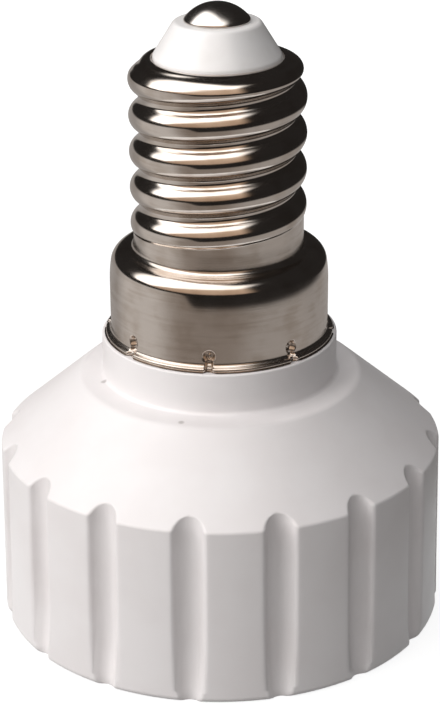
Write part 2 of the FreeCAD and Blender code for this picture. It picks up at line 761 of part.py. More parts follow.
def make_insert_cover():
    body = new_body("insert_cover")
    disc = new_sketch(body, "cover_outline", "XY_Plane")
    draw_circle(disc, 0, 0, s.block_radius)
    pad(body, disc, "cover_disc", s.cover_thickness)
    slot = new_sketch(body, "tab_slot_outline", "XY_Plane")
    inner = s.spring_tab_place - s.spring_thickness / 2 - s.spring_slack
    outer = s.spring_tab_place + s.spring_thickness / 2 + s.spring_slack
    half = s.spring_width / 2 + s.spring_slack
    draw(slot, (inner, -half), (outer, -half), (outer, half), (inner, half))
    slot_cut = pocket(body, slot, "tab_slot", s.cover_thickness, upward=True)
    hole = new_sketch(body, "rivet_hole_outline", "XY_Plane")
    draw_circle(hole, s.rivet_place, 0, s.rivet_radius)
    hole_cut = pocket(body, hole, "rivet_hole", s.cover_thickness, upward=True)
    pattern(body, [slot_cut, hole_cut], "second_side", 2)
    place(body, block_top, s.twist_angle)
    return body


# Contact springs, rivets and screws


def make_contact_spring(label, side):
    """A strip of spring metal: tab up through the cover, flat under it, leg down beside the pin."""
    body = new_body(label)
    outline = new_sketch(body, f"{label}_outline")
    half = s.spring_thickness / 2
    tab_top = s.cover_thickness + s.spring_tab_height
    leg_foot = -s.spring_leg_length
    bow_height = -s.spring_leg_length * 0.6
    draw(
        outline,
        (s.spring_tab_place - half, tab_top),
        (s.spring_tab_place - half, -s.spring_thickness),
        (s.spring_leg_place - half, -s.spring_thickness),
        (s.spring_leg_place - half - s.spring_bow, bow_height),
        (s.spring_leg_place - half, leg_foot),
        (s.spring_leg_place + half, leg_foot),
        (s.spring_leg_place + half - s.spring_bow, bow_height),
        (s.spring_leg_place + half, 0),
        (s.spring_tab_place + half, 0),
        (s.spring_tab_place + half, tab_top),
    )
    pad(body, outline, f"{label}_strip", s.spring_width, symmetric=True)
    hole = new_sketch(body, f"{label}_hole_outline", "XY_Plane")
    draw_circle(hole, s.rivet_place, 0, s.rivet_radius)
    pocket(body, hole, f"{label}_hole", s.spring_thickness)
    place(body, block_top, side)
    return body


def make_rivet(label, side):
    """A rivet that holds a spring under the cover: clinched flush in the strip, its head above."""
    body = new_body(label)
    outline = new_sketch(body, f"{label}_outline")
    grip = s.spring_thickness + s.cover_thickness
    draw(
        outline,
        (0, 0),
        (s.rivet_radius, 0),
        (s.rivet_radius, grip),
        (s.rivet_head_radius, grip),
        (s.rivet_head_radius, grip + s.rivet_head_height),
        (0, grip + s.rivet_head_height),
    )
    turned(body, "Revolution", outline, f"{label}_form")
    place(body, block_top - s.spring_thickness, side, s.rivet_place)
    return body


def make_insert_screw(label, side):
    """A screw that holds the insert against its boss, its head flush with the insert's face."""
    body = new_body(label)
    outline = new_sketch(body, f"{label}_outline")
    tip = s.insert_thickness + s.screw_grip
    draw(
        outline,
        (0, 0),
        (s.screw_head_radius, 0),
        (s.screw_head_radius, s.screw_head_height),
        (s.pilot_radius, s.screw_head_height),
        (s.pilot_radius, tip),
        (0, tip),
    )
    turned(body, "Revolution", outline, f"{label}_form")
    slot = new_sketch(body, f"{label}_slot_outline", "XY_Plane")
    half = s.screw_slot_width / 2
    reach = s.screw_head_radius * 2
    draw(slot, (-reach, -half), (reach, -half), (reach, half), (-reach, half))
    pocket(body, slot, f"{label}_slot", s.screw_slot_depth, upward=True)
    place(body, s.socket_face_height, side, s.boss_place)
    return body


# Wires: straight runs joined by tangent arcs, in the upright plane through the springs


def spot(distance, height):
    return FreeCAD.Vector(as_value(distance).number, 0, as_value(height).number)


def bent_path(points, start=None, end=None):
    """Edges of a path through points (distance, height), each turn rounded as far as its runs allow.

    A start or end that is given replaces the first or last point once the turns are rounded.
    """
    spots = [spot(*point) for point in points]
    edges = []
    place = spot(*start) if start else spots[0]
    for before, corner, after in zip(spots, spots[1:], spots[2:]):
        back, forth = before - corner, after - corner
        reach = 0.45 * min(back.Length, forth.Length)
        first = corner + back.normalize() * reach
        last = corner + forth.normalize() * reach
        half_turn = (math.pi - back.getAngle(forth)) / 2
        radius = reach / math.tan(half_turn)
        print(f"wire bend radius {radius:.2f}")
        inward = (back + forth).normalize()
        middle = corner + inward * (radius / math.cos(half_turn) - radius)
        edges.append(Part.LineSegment(place, first).toShape())
        edges.append(Part.Arc(first, middle, last).toShape())
        place = last
    edges.append(Part.LineSegment(place, spot(*end) if end else spots[-1]).toShape())
    return edges


def tube(edges, radius):
    """A solid round tube along a path, its volume checked against section times length."""
    path = Part.Wire(edges)
    start = edges[0].valueAt(edges[0].FirstParameter)
    way = edges[0].tangentAt(edges[0].FirstParameter)
    ring = Part.Wire([Part.makeCircle(radius, start, way)])
    solid = path.makePipeShell([ring], True, True)
    expected = math.pi * radius * radius * path.Length
    if abs(solid.Volume / expected - 1) > 0.01:
        raise ValueError("a wire's volume does not match its length")
    return solid


def make_wire(label, core_edges, sleeve_edges, side):
    wire = document.addObject("Part::Feature", label)
    wire.Label = label
    core = tube(core_edges, s.core_radius.number)
    sleeve = tube(sleeve_edges, s.wire_radius.number)
    wire.Shape = core.fuse(sleeve).removeSplitter()
    place(wire, 0, side)
    return wire


tab_line = s.spring_tab_place + s.spring_thickness / 2 + s.core_radius
wire_start = s.insert_top + s.spring_slack
sleeve_start = wire_start + s.bare_length


def make_live_wire():
    """From the first spring's tab up through the neck to the centre contact."""
    route = (
        (tab_line, wire_start),
        (tab_line, s.live_bend_low),
        (0, s.live_bend_high),
        (0, clinch_foot + s.solder_depth),
    )
    core = bent_path(route)
    sleeve = bent_path(route, start=(tab_line, sleeve_start), end=(0, live_bare_height))
    return make_wire("live_wire", core, sleeve, s.twist_angle)


def make_neutral_wire():
    """From the second spring's tab up the passage, over the spigot and down inside the collar."""
    loop_height = s.spigot_top - s.neutral_loop_drop
    loop_radius = (conductor_place - tab_line) / 2
    foot, loop_start = spot(tab_line, wire_start), spot(tab_line, loop_height)
    loop_middle = spot(tab_line + loop_radius, loop_height + loop_radius)
    loop_end = spot(conductor_place, loop_height)
    core = [
        Part.LineSegment(foot, loop_start).toShape(),
        Part.Arc(loop_start, loop_middle, loop_end).toShape(),
        Part.LineSegment(loop_end, spot(conductor_place, s.neutral_end_height)).toShape(),
    ]
    sleeve_ends = spot(tab_line, sleeve_start), spot(tab_line, s.neutral_bare_height)
    sleeve = [Part.LineSegment(*sleeve_ends).toShape()]
    return make_wire("neutral_wire", core, sleeve, neutral_side)


# Build, check and write every sub-part

sub_parts = [
    make_housing(),
    make_screw_shell(),
    make_cap_insulator(),
    make_centre_contact(),
    make_socket_insert(),
    make_insert_cover(),
    make_contact_spring("contact_spring_live", s.twist_angle),
    make_contact_spring("contact_spring_neutral", neutral_side),
    make_rivet("rivet_live", s.twist_angle),
    make_rivet("rivet_neutral", neutral_side),
    make_insert_screw("insert_screw_right", screw_side),
    make_insert_screw("insert_screw_left", -screw_side),
    make_live_wire(),
    make_neutral_wire(),
]

document.recompute()
for thing in document.Objects:
    if "Invalid" in thing.State or "Error" in thing.State:
        raise ValueError(f"{thing.Label} did not build: {thing.State}")
for sub_part in sub_parts:
    shape = sub_part.Shape
    if shape.isNull() or not shape.isValid() or len(shape.Solids) != 1:
        raise ValueError(f"{sub_part.Label} is not one sound solid")
    print(f"{sub_part.Label}: {shape.Volume:.2f} cubic millimetres")
    shape.exportStep(f"parts/{sub_part.Label}.step")
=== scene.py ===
"""Looks of a lamp socket adapter: a small screw cap above, a two-pin twist-lock socket below.

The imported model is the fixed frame. The fluted housing, the rolled screw shell, the cap
insulator and the centre contact get smooth forms here and stand for their solids. The parts
inside keep their solids and get their finishes.
"""

from __future__ import annotations

import logging
import math
from dataclasses import dataclass, field
from enum import Enum
from typing import Any, Iterable, Mapping, Sequence, Union

import bmesh
import bpy
from mathutils import Matrix, Vector

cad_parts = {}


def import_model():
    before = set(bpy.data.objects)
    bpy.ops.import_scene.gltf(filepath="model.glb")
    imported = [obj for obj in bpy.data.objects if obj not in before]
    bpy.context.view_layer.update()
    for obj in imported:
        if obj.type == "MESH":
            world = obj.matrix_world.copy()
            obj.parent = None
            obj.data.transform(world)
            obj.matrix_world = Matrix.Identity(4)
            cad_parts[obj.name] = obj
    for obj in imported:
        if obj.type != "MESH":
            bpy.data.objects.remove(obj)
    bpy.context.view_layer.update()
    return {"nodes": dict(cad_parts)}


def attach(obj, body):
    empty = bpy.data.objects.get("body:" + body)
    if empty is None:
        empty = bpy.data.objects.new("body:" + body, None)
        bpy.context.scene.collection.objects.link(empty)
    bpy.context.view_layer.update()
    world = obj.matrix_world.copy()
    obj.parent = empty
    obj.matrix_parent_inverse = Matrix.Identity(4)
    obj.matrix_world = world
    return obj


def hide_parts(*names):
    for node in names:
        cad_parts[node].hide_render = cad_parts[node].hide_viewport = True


MM = 0.001  # metres in a millimetre
ON_AXIS = 1e-6  # radius in millimetres below which a ring is a point
MERGE = 1e-7  # metres within which points become one
log = logging.getLogger("socket adapter")

Colour = tuple[float, float, float]
WHITE: Colour = (1.0, 1.0, 1.0)
BLACK: Colour = (0.0, 0.0, 0.0)


def linked(name: str, data: bpy.types.ID) -> bpy.types.Object:
    """A new object in the scene, at the origin.

    Args:
        name: the object's name.
        data: its mesh, lamp or camera.

    Returns:
        The object.
    """
    made = bpy.data.objects.new(name, data)
    bpy.context.scene.collection.objects.link(made)
    return made


def settled(name: str, form: bmesh.types.BMesh) -> bpy.types.Mesh:
    """Turns a form into a mesh and frees it.

    Args:
        name: the mesh's name.
        form: what it is made from.

    Returns:
        The mesh.
    """
    mesh = bpy.data.meshes.new(name)
    form.to_mesh(mesh)
    form.free()
    return mesh


# Node trees written as expressions


class Term:
    """A node's output that takes part in Python expressions on numbers."""

    def __init__(self, graph: "Graph", socket: bpy.types.NodeSocket) -> None:
        """Keeps the socket and the graph that new nodes go into."""
        self.graph = graph
        self.socket = socket

    def __add__(self, other: "Amount") -> "Term":
        """Sum with another amount."""
        return self.graph.math("ADD", self, other)

    __radd__ = __add__

    def __sub__(self, other: "Amount") -> "Term":
        """Difference from another amount."""
        return self.graph.math("SUBTRACT", self, other)

    def __rsub__(self, other: "Amount") -> "Term":
        """Another amount less this one."""
        return self.graph.math("SUBTRACT", other, self)

    def __mul__(self, other: "Amount") -> "Term":
        """Product with another amount."""
        return self.graph.math("MULTIPLY", self, other)

    __rmul__ = __mul__

    def __truediv__(self, other: "Amount") -> "Term":
        """Quotient by another amount."""
        return self.graph.math("DIVIDE", self, other)

    def __rtruediv__(self, other: "Amount") -> "Term":
        """Another amount divided by this one."""
        return self.graph.math("DIVIDE", other, self)

    def __mod__(self, other: "Amount") -> "Term":
        """Remainder that is never negative."""
        return self.graph.math("FLOORED_MODULO", self, other)

    def __abs__(self) -> "Term":
        """Size without the sign."""
        return self.graph.math("ABSOLUTE", self)

    def __gt__(self, other: "Amount") -> "Term":
        """1 where this is greater, else 0."""
        return self.graph.math("GREATER_THAN", self, other)

    def __lt__(self, other: "Amount") -> "Term":
        """1 where this is less, else 0."""
        return self.graph.math("LESS_THAN", self, other)


Amount = Union[Term, float, int]


class Graph:
    """Builds one node tree, for a material, a world or a geometry modifier."""

    def __init__(self, tree: bpy.types.NodeTree) -> None:
        """Starts with an empty tree."""
        self.tree = tree
        tree.nodes.clear()

    def node(
        self,
        kind: str,
        settings: Mapping[str, Any] | None = None,
        sockets: Mapping[Union[str, int], Any] | None = None,
    ) -> bpy.types.Node:
        """Adds a node.

        Args:
            kind: the node's type.
            settings: its own properties, which are set first.
            sockets: values or links for its inputs, by name or place.

        Returns:
            The new node.
        """
        made = self.tree.nodes.new(kind)
        made.location = (180 * (len(self.tree.nodes) % 12), -220 * (len(self.tree.nodes) // 12))
        for name, value in (settings or {}).items():
            setattr(made, name, value)
        for name, value in (sockets or {}).items():
            if isinstance(value, Term):
                value = value.socket
            if isinstance(value, bpy.types.NodeSocket):
                self.tree.links.new(value, made.inputs[name])
            else:
                made.inputs[name].default_value = value
        return made

    def math(self, operation: str, *amounts: Amount) -> Term:
        """One Math node on the given amounts."""
        made = self.node("ShaderNodeMath", {"operation": operation}, dict(enumerate(amounts)))
        return Term(self, made.outputs[0])

    def least(self, first: Amount, second: Amount) -> Term:
        """The smaller of two amounts."""
        return self.math("MINIMUM", first, second)

    def most(self, first: Amount, second: Amount) -> Term:
        """The greater of two amounts."""
        return self.math("MAXIMUM", first, second)

    def root(self, amount: Amount) -> Term:
        """Square root, and 0 for a negative amount."""
        return self.math("SQRT", self.most(amount, 0.0))

    def ramp(self, amount: Amount, low: Amount, high: Amount, first: float = 0.0, last: float = 1.0) -> Term:
        """Smooth change from one value to another.

        Args:
            amount: what the change follows.
            low: the amount at which it starts.
            high: the amount at which it ends.
            first: the value up to low.
            last: the value from high on.

        Returns:
            The changing value.
        """
        sockets = {0: amount, 1: low, 2: high, 3: first, 4: last}
        made = self.node("ShaderNodeMapRange", {"interpolation_type": "SMOOTHSTEP"}, sockets)
        return Term(self, made.outputs[0])

    def fall(self, amount: Amount, low: Amount, high: Amount) -> Term:
        """Smooth change from 1 up to the low amount to 0 from the high one on."""
        return self.ramp(amount, low, high, 1.0, 0.0)

    def between(self, amount: Term, first: Amount, last: Amount, edge: float) -> Term:
        """1 between two limits and 0 outside them, with soft edges of the given half width."""
        return self.ramp(amount, first - edge, first + edge) * self.fall(amount, last - edge, last + edge)

    def millimetres(self, vector: bpy.types.NodeSocket) -> Term:
        """A vector in metres, scaled to millimetres."""
        made = self.node("ShaderNodeVectorMath", {"operation": "SCALE"}, {0: vector, "Scale": 1 / MM})
        return Term(self, made.outputs[0])

    def distance(self, vector: Any, place: Sequence[float] = (0.0, 0.0, 0.0)) -> Term:
        """Distance of a vector from a place."""
        made = self.node("ShaderNodeVectorMath", {"operation": "DISTANCE"}, {0: vector, 1: place})
        return Term(self, made.outputs["Value"])

    def split(self, vector: Union[Term, bpy.types.NodeSocket]) -> tuple[Term, Term, Term]:
        """The three parts of a vector."""
        made = self.node("ShaderNodeSeparateXYZ", sockets={0: vector})
        return tuple(Term(self, made.outputs[place]) for place in range(3))

    def join(self, x: Amount, y: Amount, z: Amount) -> Term:
        """A vector from its three parts."""
        made = self.node("ShaderNodeCombineXYZ", sockets={0: x, 1: y, 2: z})
        return Term(self, made.outputs[0])

    def blend(self, factor: Amount, first: Any, last: Any) -> Term:
        """Colour between two colours.

        Args:
            factor: 0 for the first colour and 1 for the last.
            first: a colour, or a term with one.
            last: the same.

        Returns:
            The colour.
        """
        colours = [(*item, 1.0) if isinstance(item, tuple) else item for item in (first, last)]
        sockets = {0: factor, 6: colours[0], 7: colours[1]}
        made = self.node("ShaderNodeMix", {"data_type": "RGBA"}, sockets)
        return Term(self, made.outputs[2])


# Finishes


@dataclass(frozen=True)
class Texture:
    """Noise over an object: clouds to a millimetre, number of finer layers and their strength.

    A stretched texture has more clouds to a millimetre one way than the other, as drawn or
    brushed lines have: the first number is for the level ways and the second for upwards.
    """

    scale: float = 1.0
    detail: float = 2.0
    rough: float = 0.5
    stretch: tuple[float, float] | None = None


class Paint(Graph):
    """A material's graph, with places in millimetres on the object."""

    def __init__(self, name: str) -> None:
        """Makes the material and reads the object coordinates once.

        Args:
            name: the material's name.
        """
        self.material = bpy.data.materials.new(name)
        self.material.use_nodes = True
        super().__init__(self.material.node_tree)
        self.spot = self.millimetres(self.node("ShaderNodeTexCoord").outputs["Object"])
        self.x, self.y, self.z = self.split(self.spot)

    def noise(self, texture: Texture) -> Term:
        """Noise from 0 to 1 over the object.

        Args:
            texture: the kind of noise.

        Returns:
            The noise.
        """
        place = self.spot
        if texture.stretch:
            level, upwards = texture.stretch
            place = self.join(self.x * level, self.y * level, self.z * upwards)
        layers = {"Detail": texture.detail, "Roughness": texture.rough}
        sockets = {"Vector": place, "Scale": texture.scale, **layers}
        made = self.node("ShaderNodeTexNoise", {"noise_dimensions": "3D"}, sockets)
        return Term(self, made.outputs[0])

    def sway(self, noise: Term, width: float) -> Term:
        """A noise moved to about 0, with the given width from end to end."""
        return (noise - 0.5) * width

    def finish(
        self,
        constants: Mapping[str, Any],
        varying: Mapping[str, Any],
        bump: Term | None = None,
        depth: float = 0.0,
    ) -> None:
        """Ends the graph in the surface shader.

        Args:
            constants: values that are the same all over.
            varying: sockets that change over the surface.
            bump: height of the fine relief, or None for a smooth surface.
            depth: depth of that relief in millimetres.
        """
        shader = self.node("ShaderNodeBsdfPrincipled", sockets={**constants, **varying})
        if bump is not None:
            sockets = {"Strength": 1.0, "Distance": depth * MM, "Height": bump}
            relief = self.node("ShaderNodeBump", sockets=sockets)
            self.tree.links.new(relief.outputs[0], shader.inputs["Normal"])
        self.node("ShaderNodeOutputMaterial", sockets={"Surface": shader.outputs[0]})


class Finish:
    """A finish that draws itself in a material's graph."""

    name: str

    def material(self) -> bpy.types.Material:
        """Makes the finish's material.

        Returns:
            The material.
        """
        paint = Paint(self.name)
        self.cover(paint)
        return paint.material

    def cover(self, paint: Paint) -> None:
        """Draws the finish."""
        raise NotImplementedError


@dataclass(frozen=True)
class MouldedWhite(Finish):
    """Satin white moulding with a fine mould texture and a few tiny specks."""

    name: str = "moulded white"
    colour: Colour = (0.80, 0.770, 0.768)
    shade: Colour = (0.775, 0.740, 0.737)
    speck: Colour = (0.30, 0.27, 0.26)
    specks: tuple[tuple[float, float, float], ...] = ((-8.92, -2.81, 19.75), (-2.88, -10.05, 19.75))
    speck_core: float = 0.12
    speck_edge: float = 0.34
    speck_strength: float = 0.6
    cloud: Texture = Texture(0.22, 3.0)
    drift: tuple[float, float] = (0.35, 0.7)
    grain: Texture = Texture(5.0, 3.0, 0.6)
    grain_sway: float = 0.06
    grain_depth: float = 0.006
    patch: Texture = Texture(0.6)
    patch_sway: float = 0.10
    roughness: float = 0.40
    refraction: float = 1.49

    def cover(self, paint: Paint) -> None:
        """Draws broad clouds, the specks and the mould's texture.

        Args:
            paint: the material's graph.
        """
        colour = paint.blend(paint.ramp(paint.noise(self.cloud), *self.drift), self.colour, self.shade)
        for place in self.specks:
            away = paint.distance(paint.spot, place)
            mark = paint.ramp(away, self.speck_core, self.speck_edge, self.speck_strength, 0.0)
            colour = paint.blend(mark, colour, self.speck)
        grain = paint.noise(self.grain)
        patch = paint.sway(paint.noise(self.patch), self.patch_sway)
        rough = self.roughness + patch + paint.sway(grain, self.grain_sway)
        varying = {"Base Color": colour, "Roughness": rough}
        paint.finish({"IOR": self.refraction}, varying, grain, self.grain_depth)


@dataclass(frozen=True)
class GlossyWhite(Finish):
    """Smooth, half glossy white insulator."""

    name: str = "glossy white"
    colour: Colour = (0.87, 0.85, 0.84)
    shade: Colour = (0.83, 0.805, 0.79)
    roughness: float = 0.24
    cloud: Texture = Texture(0.5)
    drift: tuple[float, float] = (0.35, 0.7)
    grain: Texture = Texture(2.6)
    grain_sway: float = 0.10
    grain_depth: float = 0.003
    refraction: float = 1.52

    def cover(self, paint: Paint) -> None:
        """Draws broad clouds and a faint unevenness.

        Args:
            paint: the material's graph.
        """
        colour = paint.blend(paint.ramp(paint.noise(self.cloud), *self.drift), self.colour, self.shade)
        grain = paint.noise(self.grain)
        varying = {"Base Color": colour, "Roughness": self.roughness + paint.sway(grain, self.grain_sway)}
        paint.finish({"IOR": self.refraction}, varying, grain, self.grain_depth)


@dataclass(frozen=True)
class InsertWhite(Finish):
    """Dry, matt white moulding of the socket insert, slightly cream, with fine pores."""

    name: str = "matt white"
    colour: Colour = (0.76, 0.745, 0.70)
    shade: Colour = (0.69, 0.665, 0.61)
    roughness: float = 0.62
    cloud: Texture = Texture(0.35, 4.0, 0.6)
    drift: tuple[float, float] = (0.3, 0.75)
    pores: Texture = Texture(9.0, 3.0, 0.65)
    pore_limits: tuple[float, float] = (0.66, 0.74)
    pore_shade: float = 0.35
    pore_sway: float = 0.16
    pore_depth: float = 0.012
    refraction: float = 1.5

    def cover(self, paint: Paint) -> None:
        """Draws broad clouds and dark pores.

        Args:
            paint: the material's graph.
        """
        colour = paint.blend(paint.ramp(paint.noise(self.cloud), *self.drift), self.colour, self.shade)
        pores = paint.noise(self.pores)
        colour = paint.blend(paint.ramp(pores, *self.pore_limits, 0.0, self.pore_shade), colour, self.shade)
        varying = {"Base Color": colour, "Roughness": self.roughness + paint.sway(pores, self.pore_sway)}
        paint.finish({"IOR": self.refraction}, varying, pores, self.pore_depth)


@dataclass(frozen=True)
class RolledNickel(Finish):
    """Nickel-plated sheet: bright on thread and shoulder, satin with fine level lines elsewhere."""

    name: str = "rolled nickel"
    colour: Colour = (0.64, 0.585, 0.54)
    tarnish: Colour = (0.52, 0.455, 0.40)
    bright: float = 0.13
    satin: float = 0.23
    thread_foot: float = 31.4
    shoulder_low: float = 28.0
    shoulder_high: float = 29.9
    fade_below: float = 0.5
    fade_above: float = 0.3
    lines: Texture = Texture(1.0, 3.0, 0.65, (0.25, 16.0))
    line_sway: float = 0.10
    line_depth: float = 0.004
    bright_relief: float = 0.25
    bands: Texture = Texture(1.0, 2.0, 0.5, (0.18, 3.0))
    band_sway: float = 0.6
    cloud: Texture = Texture(0.5)
    drift: tuple[float, float] = (0.35, 0.8)

    def cover(self, paint: Paint) -> None:
        """Draws tarnish in level bands, and makes collar and band satin with fine lines.

        Args:
            paint: the material's graph.
        """
        lines = paint.noise(self.lines)
        thread, shoulder = (
            paint.ramp(paint.z, foot - self.fade_below, foot + self.fade_above)
            for foot in (self.thread_foot, self.shoulder_low)
        )
        shoulder = shoulder * paint.fall(paint.z, self.shoulder_high, self.shoulder_high + self.fade_above)
        plain = (1.0 - thread) * (1.0 - shoulder)
        bands = paint.sway(paint.noise(self.bands), self.band_sway)
        tone = paint.ramp(paint.noise(self.cloud) + bands, *self.drift)
        colour = paint.blend(tone, self.colour, self.tarnish)
        rough = self.bright + plain * (self.satin - self.bright) + paint.sway(lines, self.line_sway)
        relief = lines * (self.bright_relief + plain * (1.0 - self.bright_relief))
        paint.finish({"Metallic": 1.0}, {"Base Color": colour, "Roughness": rough}, relief, self.line_depth)


@dataclass(frozen=True)
class PressedMetal(Finish):
    """Small pressed or turned metal part with fine drawing lines and dull patches."""

    name: str
    colour: Colour
    tarnish: Colour
    roughness: float
    lines: Texture = Texture(1.0, 3.0, 0.6, (0.6, 7.0))
    line_depth: float = 0.003
    cloud: Texture = Texture(0.9, 3.0)
    drift: tuple[float, float] = (0.35, 0.75)
    sway: float = 0.12

    def cover(self, paint: Paint) -> None:
        """Draws dull patches and drawing lines.

        Args:
            paint: the material's graph.
        """
        lines, cloud = paint.noise(self.lines), paint.noise(self.cloud)
        colour = paint.blend(paint.ramp(cloud, *self.drift), self.colour, self.tarnish)
        rough = self.roughness + paint.sway(lines, self.sway) + paint.sway(cloud, self.sway)
        paint.finish({"Metallic": 1.0}, {"Base Color": colour, "Roughness": rough}, lines, self.line_depth)


@dataclass(frozen=True)
class SleevedWire(Finish):
    """Heat-proof wire sleeve over a tinned conductor, which shows where the sleeve ends."""

    name: str
    sleeve: Colour
    low: float
    high: float
    sleeve_shade: Colour = (0.62, 0.60, 0.56)
    conductor: Colour = (0.70, 0.62, 0.52)
    sleeve_roughness: float = 0.55
    conductor_roughness: float = 0.28
    weave: Texture = Texture(1.0, 2.0, 0.5, (2.0, 5.0))
    weave_sway: float = 0.15
    weave_depth: float = 0.01

    def cover(self, paint: Paint) -> None:
        """Draws the woven sleeve, and the bare conductor past its ends.

        Args:
            paint: the material's graph.
        """
        bare = (paint.z < self.low) + (paint.z > self.high)
        weave = paint.noise(self.weave)
        sleeve = paint.blend(weave, self.sleeve, self.sleeve_shade)
        colour = paint.blend(bare, sleeve, self.conductor)
        smoother = self.sleeve_roughness - self.conductor_roughness
        rough = self.sleeve_roughness - bare * smoother + paint.sway(weave, self.weave_sway)
        varying = {"Base Color": colour, "Roughness": rough, "Metallic": bare}
        paint.finish({}, varying, weave, self.weave_depth)


DOME_LINES = Texture(1.0, 3.0, 0.6, (0.6, 2.0))
CONTACT_NICKEL = PressedMetal("contact nickel", (0.66, 0.62, 0.59), (0.58, 0.53, 0.49), 0.19, DOME_LINES)


# Turned forms


class Division(Enum):
    """How a ring of a turned form is divided."""

    FINE = "fine where marks or flutes need it"
    EVEN = "even steps"
    COARSE = "wide even steps, for faces inside"


@dataclass(frozen=True)
class Corner:
    """A corner of a turned form's outline, in millimetres."""

    radius: float
    height: float
    rounding: float = 0.0
    pieces: int = 6
    rows: int = 1
    division: Division = Division.EVEN


@dataclass(frozen=True)
class Station:
    """A ring of a turned form: radius and height in millimetres, and its division."""

    radius: float
    height: float
    division: Division


def rounded(before: Corner, corner: Corner, after: Corner) -> list[tuple[float, float]]:
    """Points of one corner, rounded if it asks for it.

    Args:
        before: the corner before it.
        corner: the corner itself.
        after: the corner after it.

    Returns:
        Radius and height of each point, one for a sharp corner.
    """
    here = Vector((corner.radius, corner.height))
    if corner.rounding <= 0.0:
        return [tuple(here)]
    back = (Vector((before.radius, before.height)) - here).normalized()
    on = (Vector((after.radius, after.height)) - here).normalized()
    opening = back.angle(on)
    reach = corner.rounding / math.tan(opening / 2)
    centre = here + (back + on).normalized() * (corner.rounding / math.sin(opening / 2))
    start = here + back * reach - centre
    swing = start.angle_signed(here + on * reach - centre)
    turns = [Matrix.Rotation(-swing * step / corner.pieces, 2) for step in range(corner.pieces + 1)]
    return [tuple(centre + turn @ start) for turn in turns]


def stations(corners: Sequence[Corner]) -> list[Station]:
    """Rings of a closed outline.

    Args:
        corners: the outline's corners in order, of which the last joins the first.

    Returns:
        The rings, with a corner's rows shared out up to the next corner.
    """
    count = len(corners)
    after = [*corners[1:], corners[0]]
    turns = [rounded(corners[place - 1], corners[place], after[place]) for place in range(count)]
    found: list[Station] = []
    for place, corner in enumerate(corners):
        found += [Station(radius, height, corner.division) for radius, height in turns[place]]
        last = turns[place][-1]
        target = turns[(place + 1) % count][0]
        for row in range(1, corner.rows):
            part = row / corner.rows
            radius = last[0] + (target[0] - last[0]) * part
            height = last[1] + (target[1] - last[1]) * part
            found.append(Station(radius, height, corner.division))
    return found


class TurnedForm:
    """A closed form turned about the adapter's axis."""

    def __init__(
        self, name: str, rings: Sequence[Station], angles: Mapping[Division, Sequence[float]]
    ) -> None:
        """Keeps what the mesh is built from.

        Args:
            name: the mesh's name.
            rings: the rings of its closed outline.
            angles: for each division, its angles in degrees.
        """
        self.name = name
        self.rings = rings
        self.angles = angles

    def mesh(self) -> bpy.types.Mesh:
        """Builds the mesh.

        Returns:
            A closed mesh with its faces outwards.
        """
        form = bmesh.new()
        loops = [self.ring(form, place) for place in range(len(self.rings))]
        for place, first in enumerate(loops):
            other = (place + 1) % len(loops)
            self.bridge(form, first, loops[other], self.turns(place), self.turns(other))
        bmesh.ops.remove_doubles(form, verts=form.verts, dist=MERGE)
        bmesh.ops.recalc_face_normals(form, faces=form.faces)
        return settled(self.name, form)

    def turns(self, place: int) -> Sequence[float]:
        """Angles of one ring, and a single one at the axis."""
        station = self.rings[place]
        return self.angles[station.division] if station.radius > ON_AXIS else [0.0]

    def ring(self, form: bmesh.types.BMesh, place: int) -> list[bmesh.types.BMVert]:
        """Adds the points of a ring.

        Args:
            form: the mesh in the making.
            place: the ring's place in the outline.

        Returns:
            The points by angle, a single one at the axis.
        """
        station = self.rings[place]
        reach, height = station.radius * MM, station.height * MM
        turns = [math.radians(angle) for angle in self.turns(place)]
        return [form.verts.new((reach * math.cos(turn), reach * math.sin(turn), height)) for turn in turns]

    @staticmethod
    def bridge(
        form: bmesh.types.BMesh,
        first: Sequence[bmesh.types.BMVert],
        second: Sequence[bmesh.types.BMVert],
        first_turns: Sequence[float],
        second_turns: Sequence[float],
    ) -> None:
        """Joins two rings: quads where they are divided alike, and triangles walked by angle elsewhere.

        Args:
            form: the mesh in the making.
            first: points of one ring.
            second: points of the next ring.
            first_turns: angles of the first ring.
            second_turns: angles of the second ring.
        """
        if len(first) == 1 and len(second) == 1:
            return
        if len(first) == 1 or len(second) == 1:
            hub, rim = (first[0], second) if len(first) == 1 else (second[0], first)
            for place, point in enumerate(rim):
                form.faces.new((hub, point, rim[(place + 1) % len(rim)]))
            return
        if first_turns is second_turns:
            for place, point in enumerate(first):
                onward = (place + 1) % len(first)
                form.faces.new((point, first[onward], second[onward], second[place]))
            return
        near, far = 0, 0
        while near < len(first) or far < len(second):
            near_angle = [*first_turns, first_turns[0] + 360][near + 1] if near < len(first) else math.inf
            far_angle = [*second_turns, second_turns[0] + 360][far + 1] if far < len(second) else math.inf
            here, there = first[near % len(first)], second[far % len(second)]
            if near_angle <= far_angle:
                form.faces.new((here, first[(near + 1) % len(first)], there))
                near += 1
            else:
                form.faces.new((here, second[(far + 1) % len(second)], there))
                far += 1


def even_angles(count: int, start: float = 0.0) -> list[float]:
    """Angles in even steps once round, in degrees."""
    return [start + 360 * step / count for step in range(count)]


def ring_angles(fine: list[float], even: int, coarse: int) -> dict[Division, list[float]]:
    """Angles for each division, which all start at the same place.

    Args:
        fine: the fine division's angles.
        even: number of even steps.
        coarse: number of wide ones.

    Returns:
        The angles in degrees by division.
    """
    counts = {Division.EVEN: even, Division.COARSE: coarse}
    steps = {division: even_angles(count, fine[0]) for division, count in counts.items()}
    return {Division.FINE: fine, **steps}


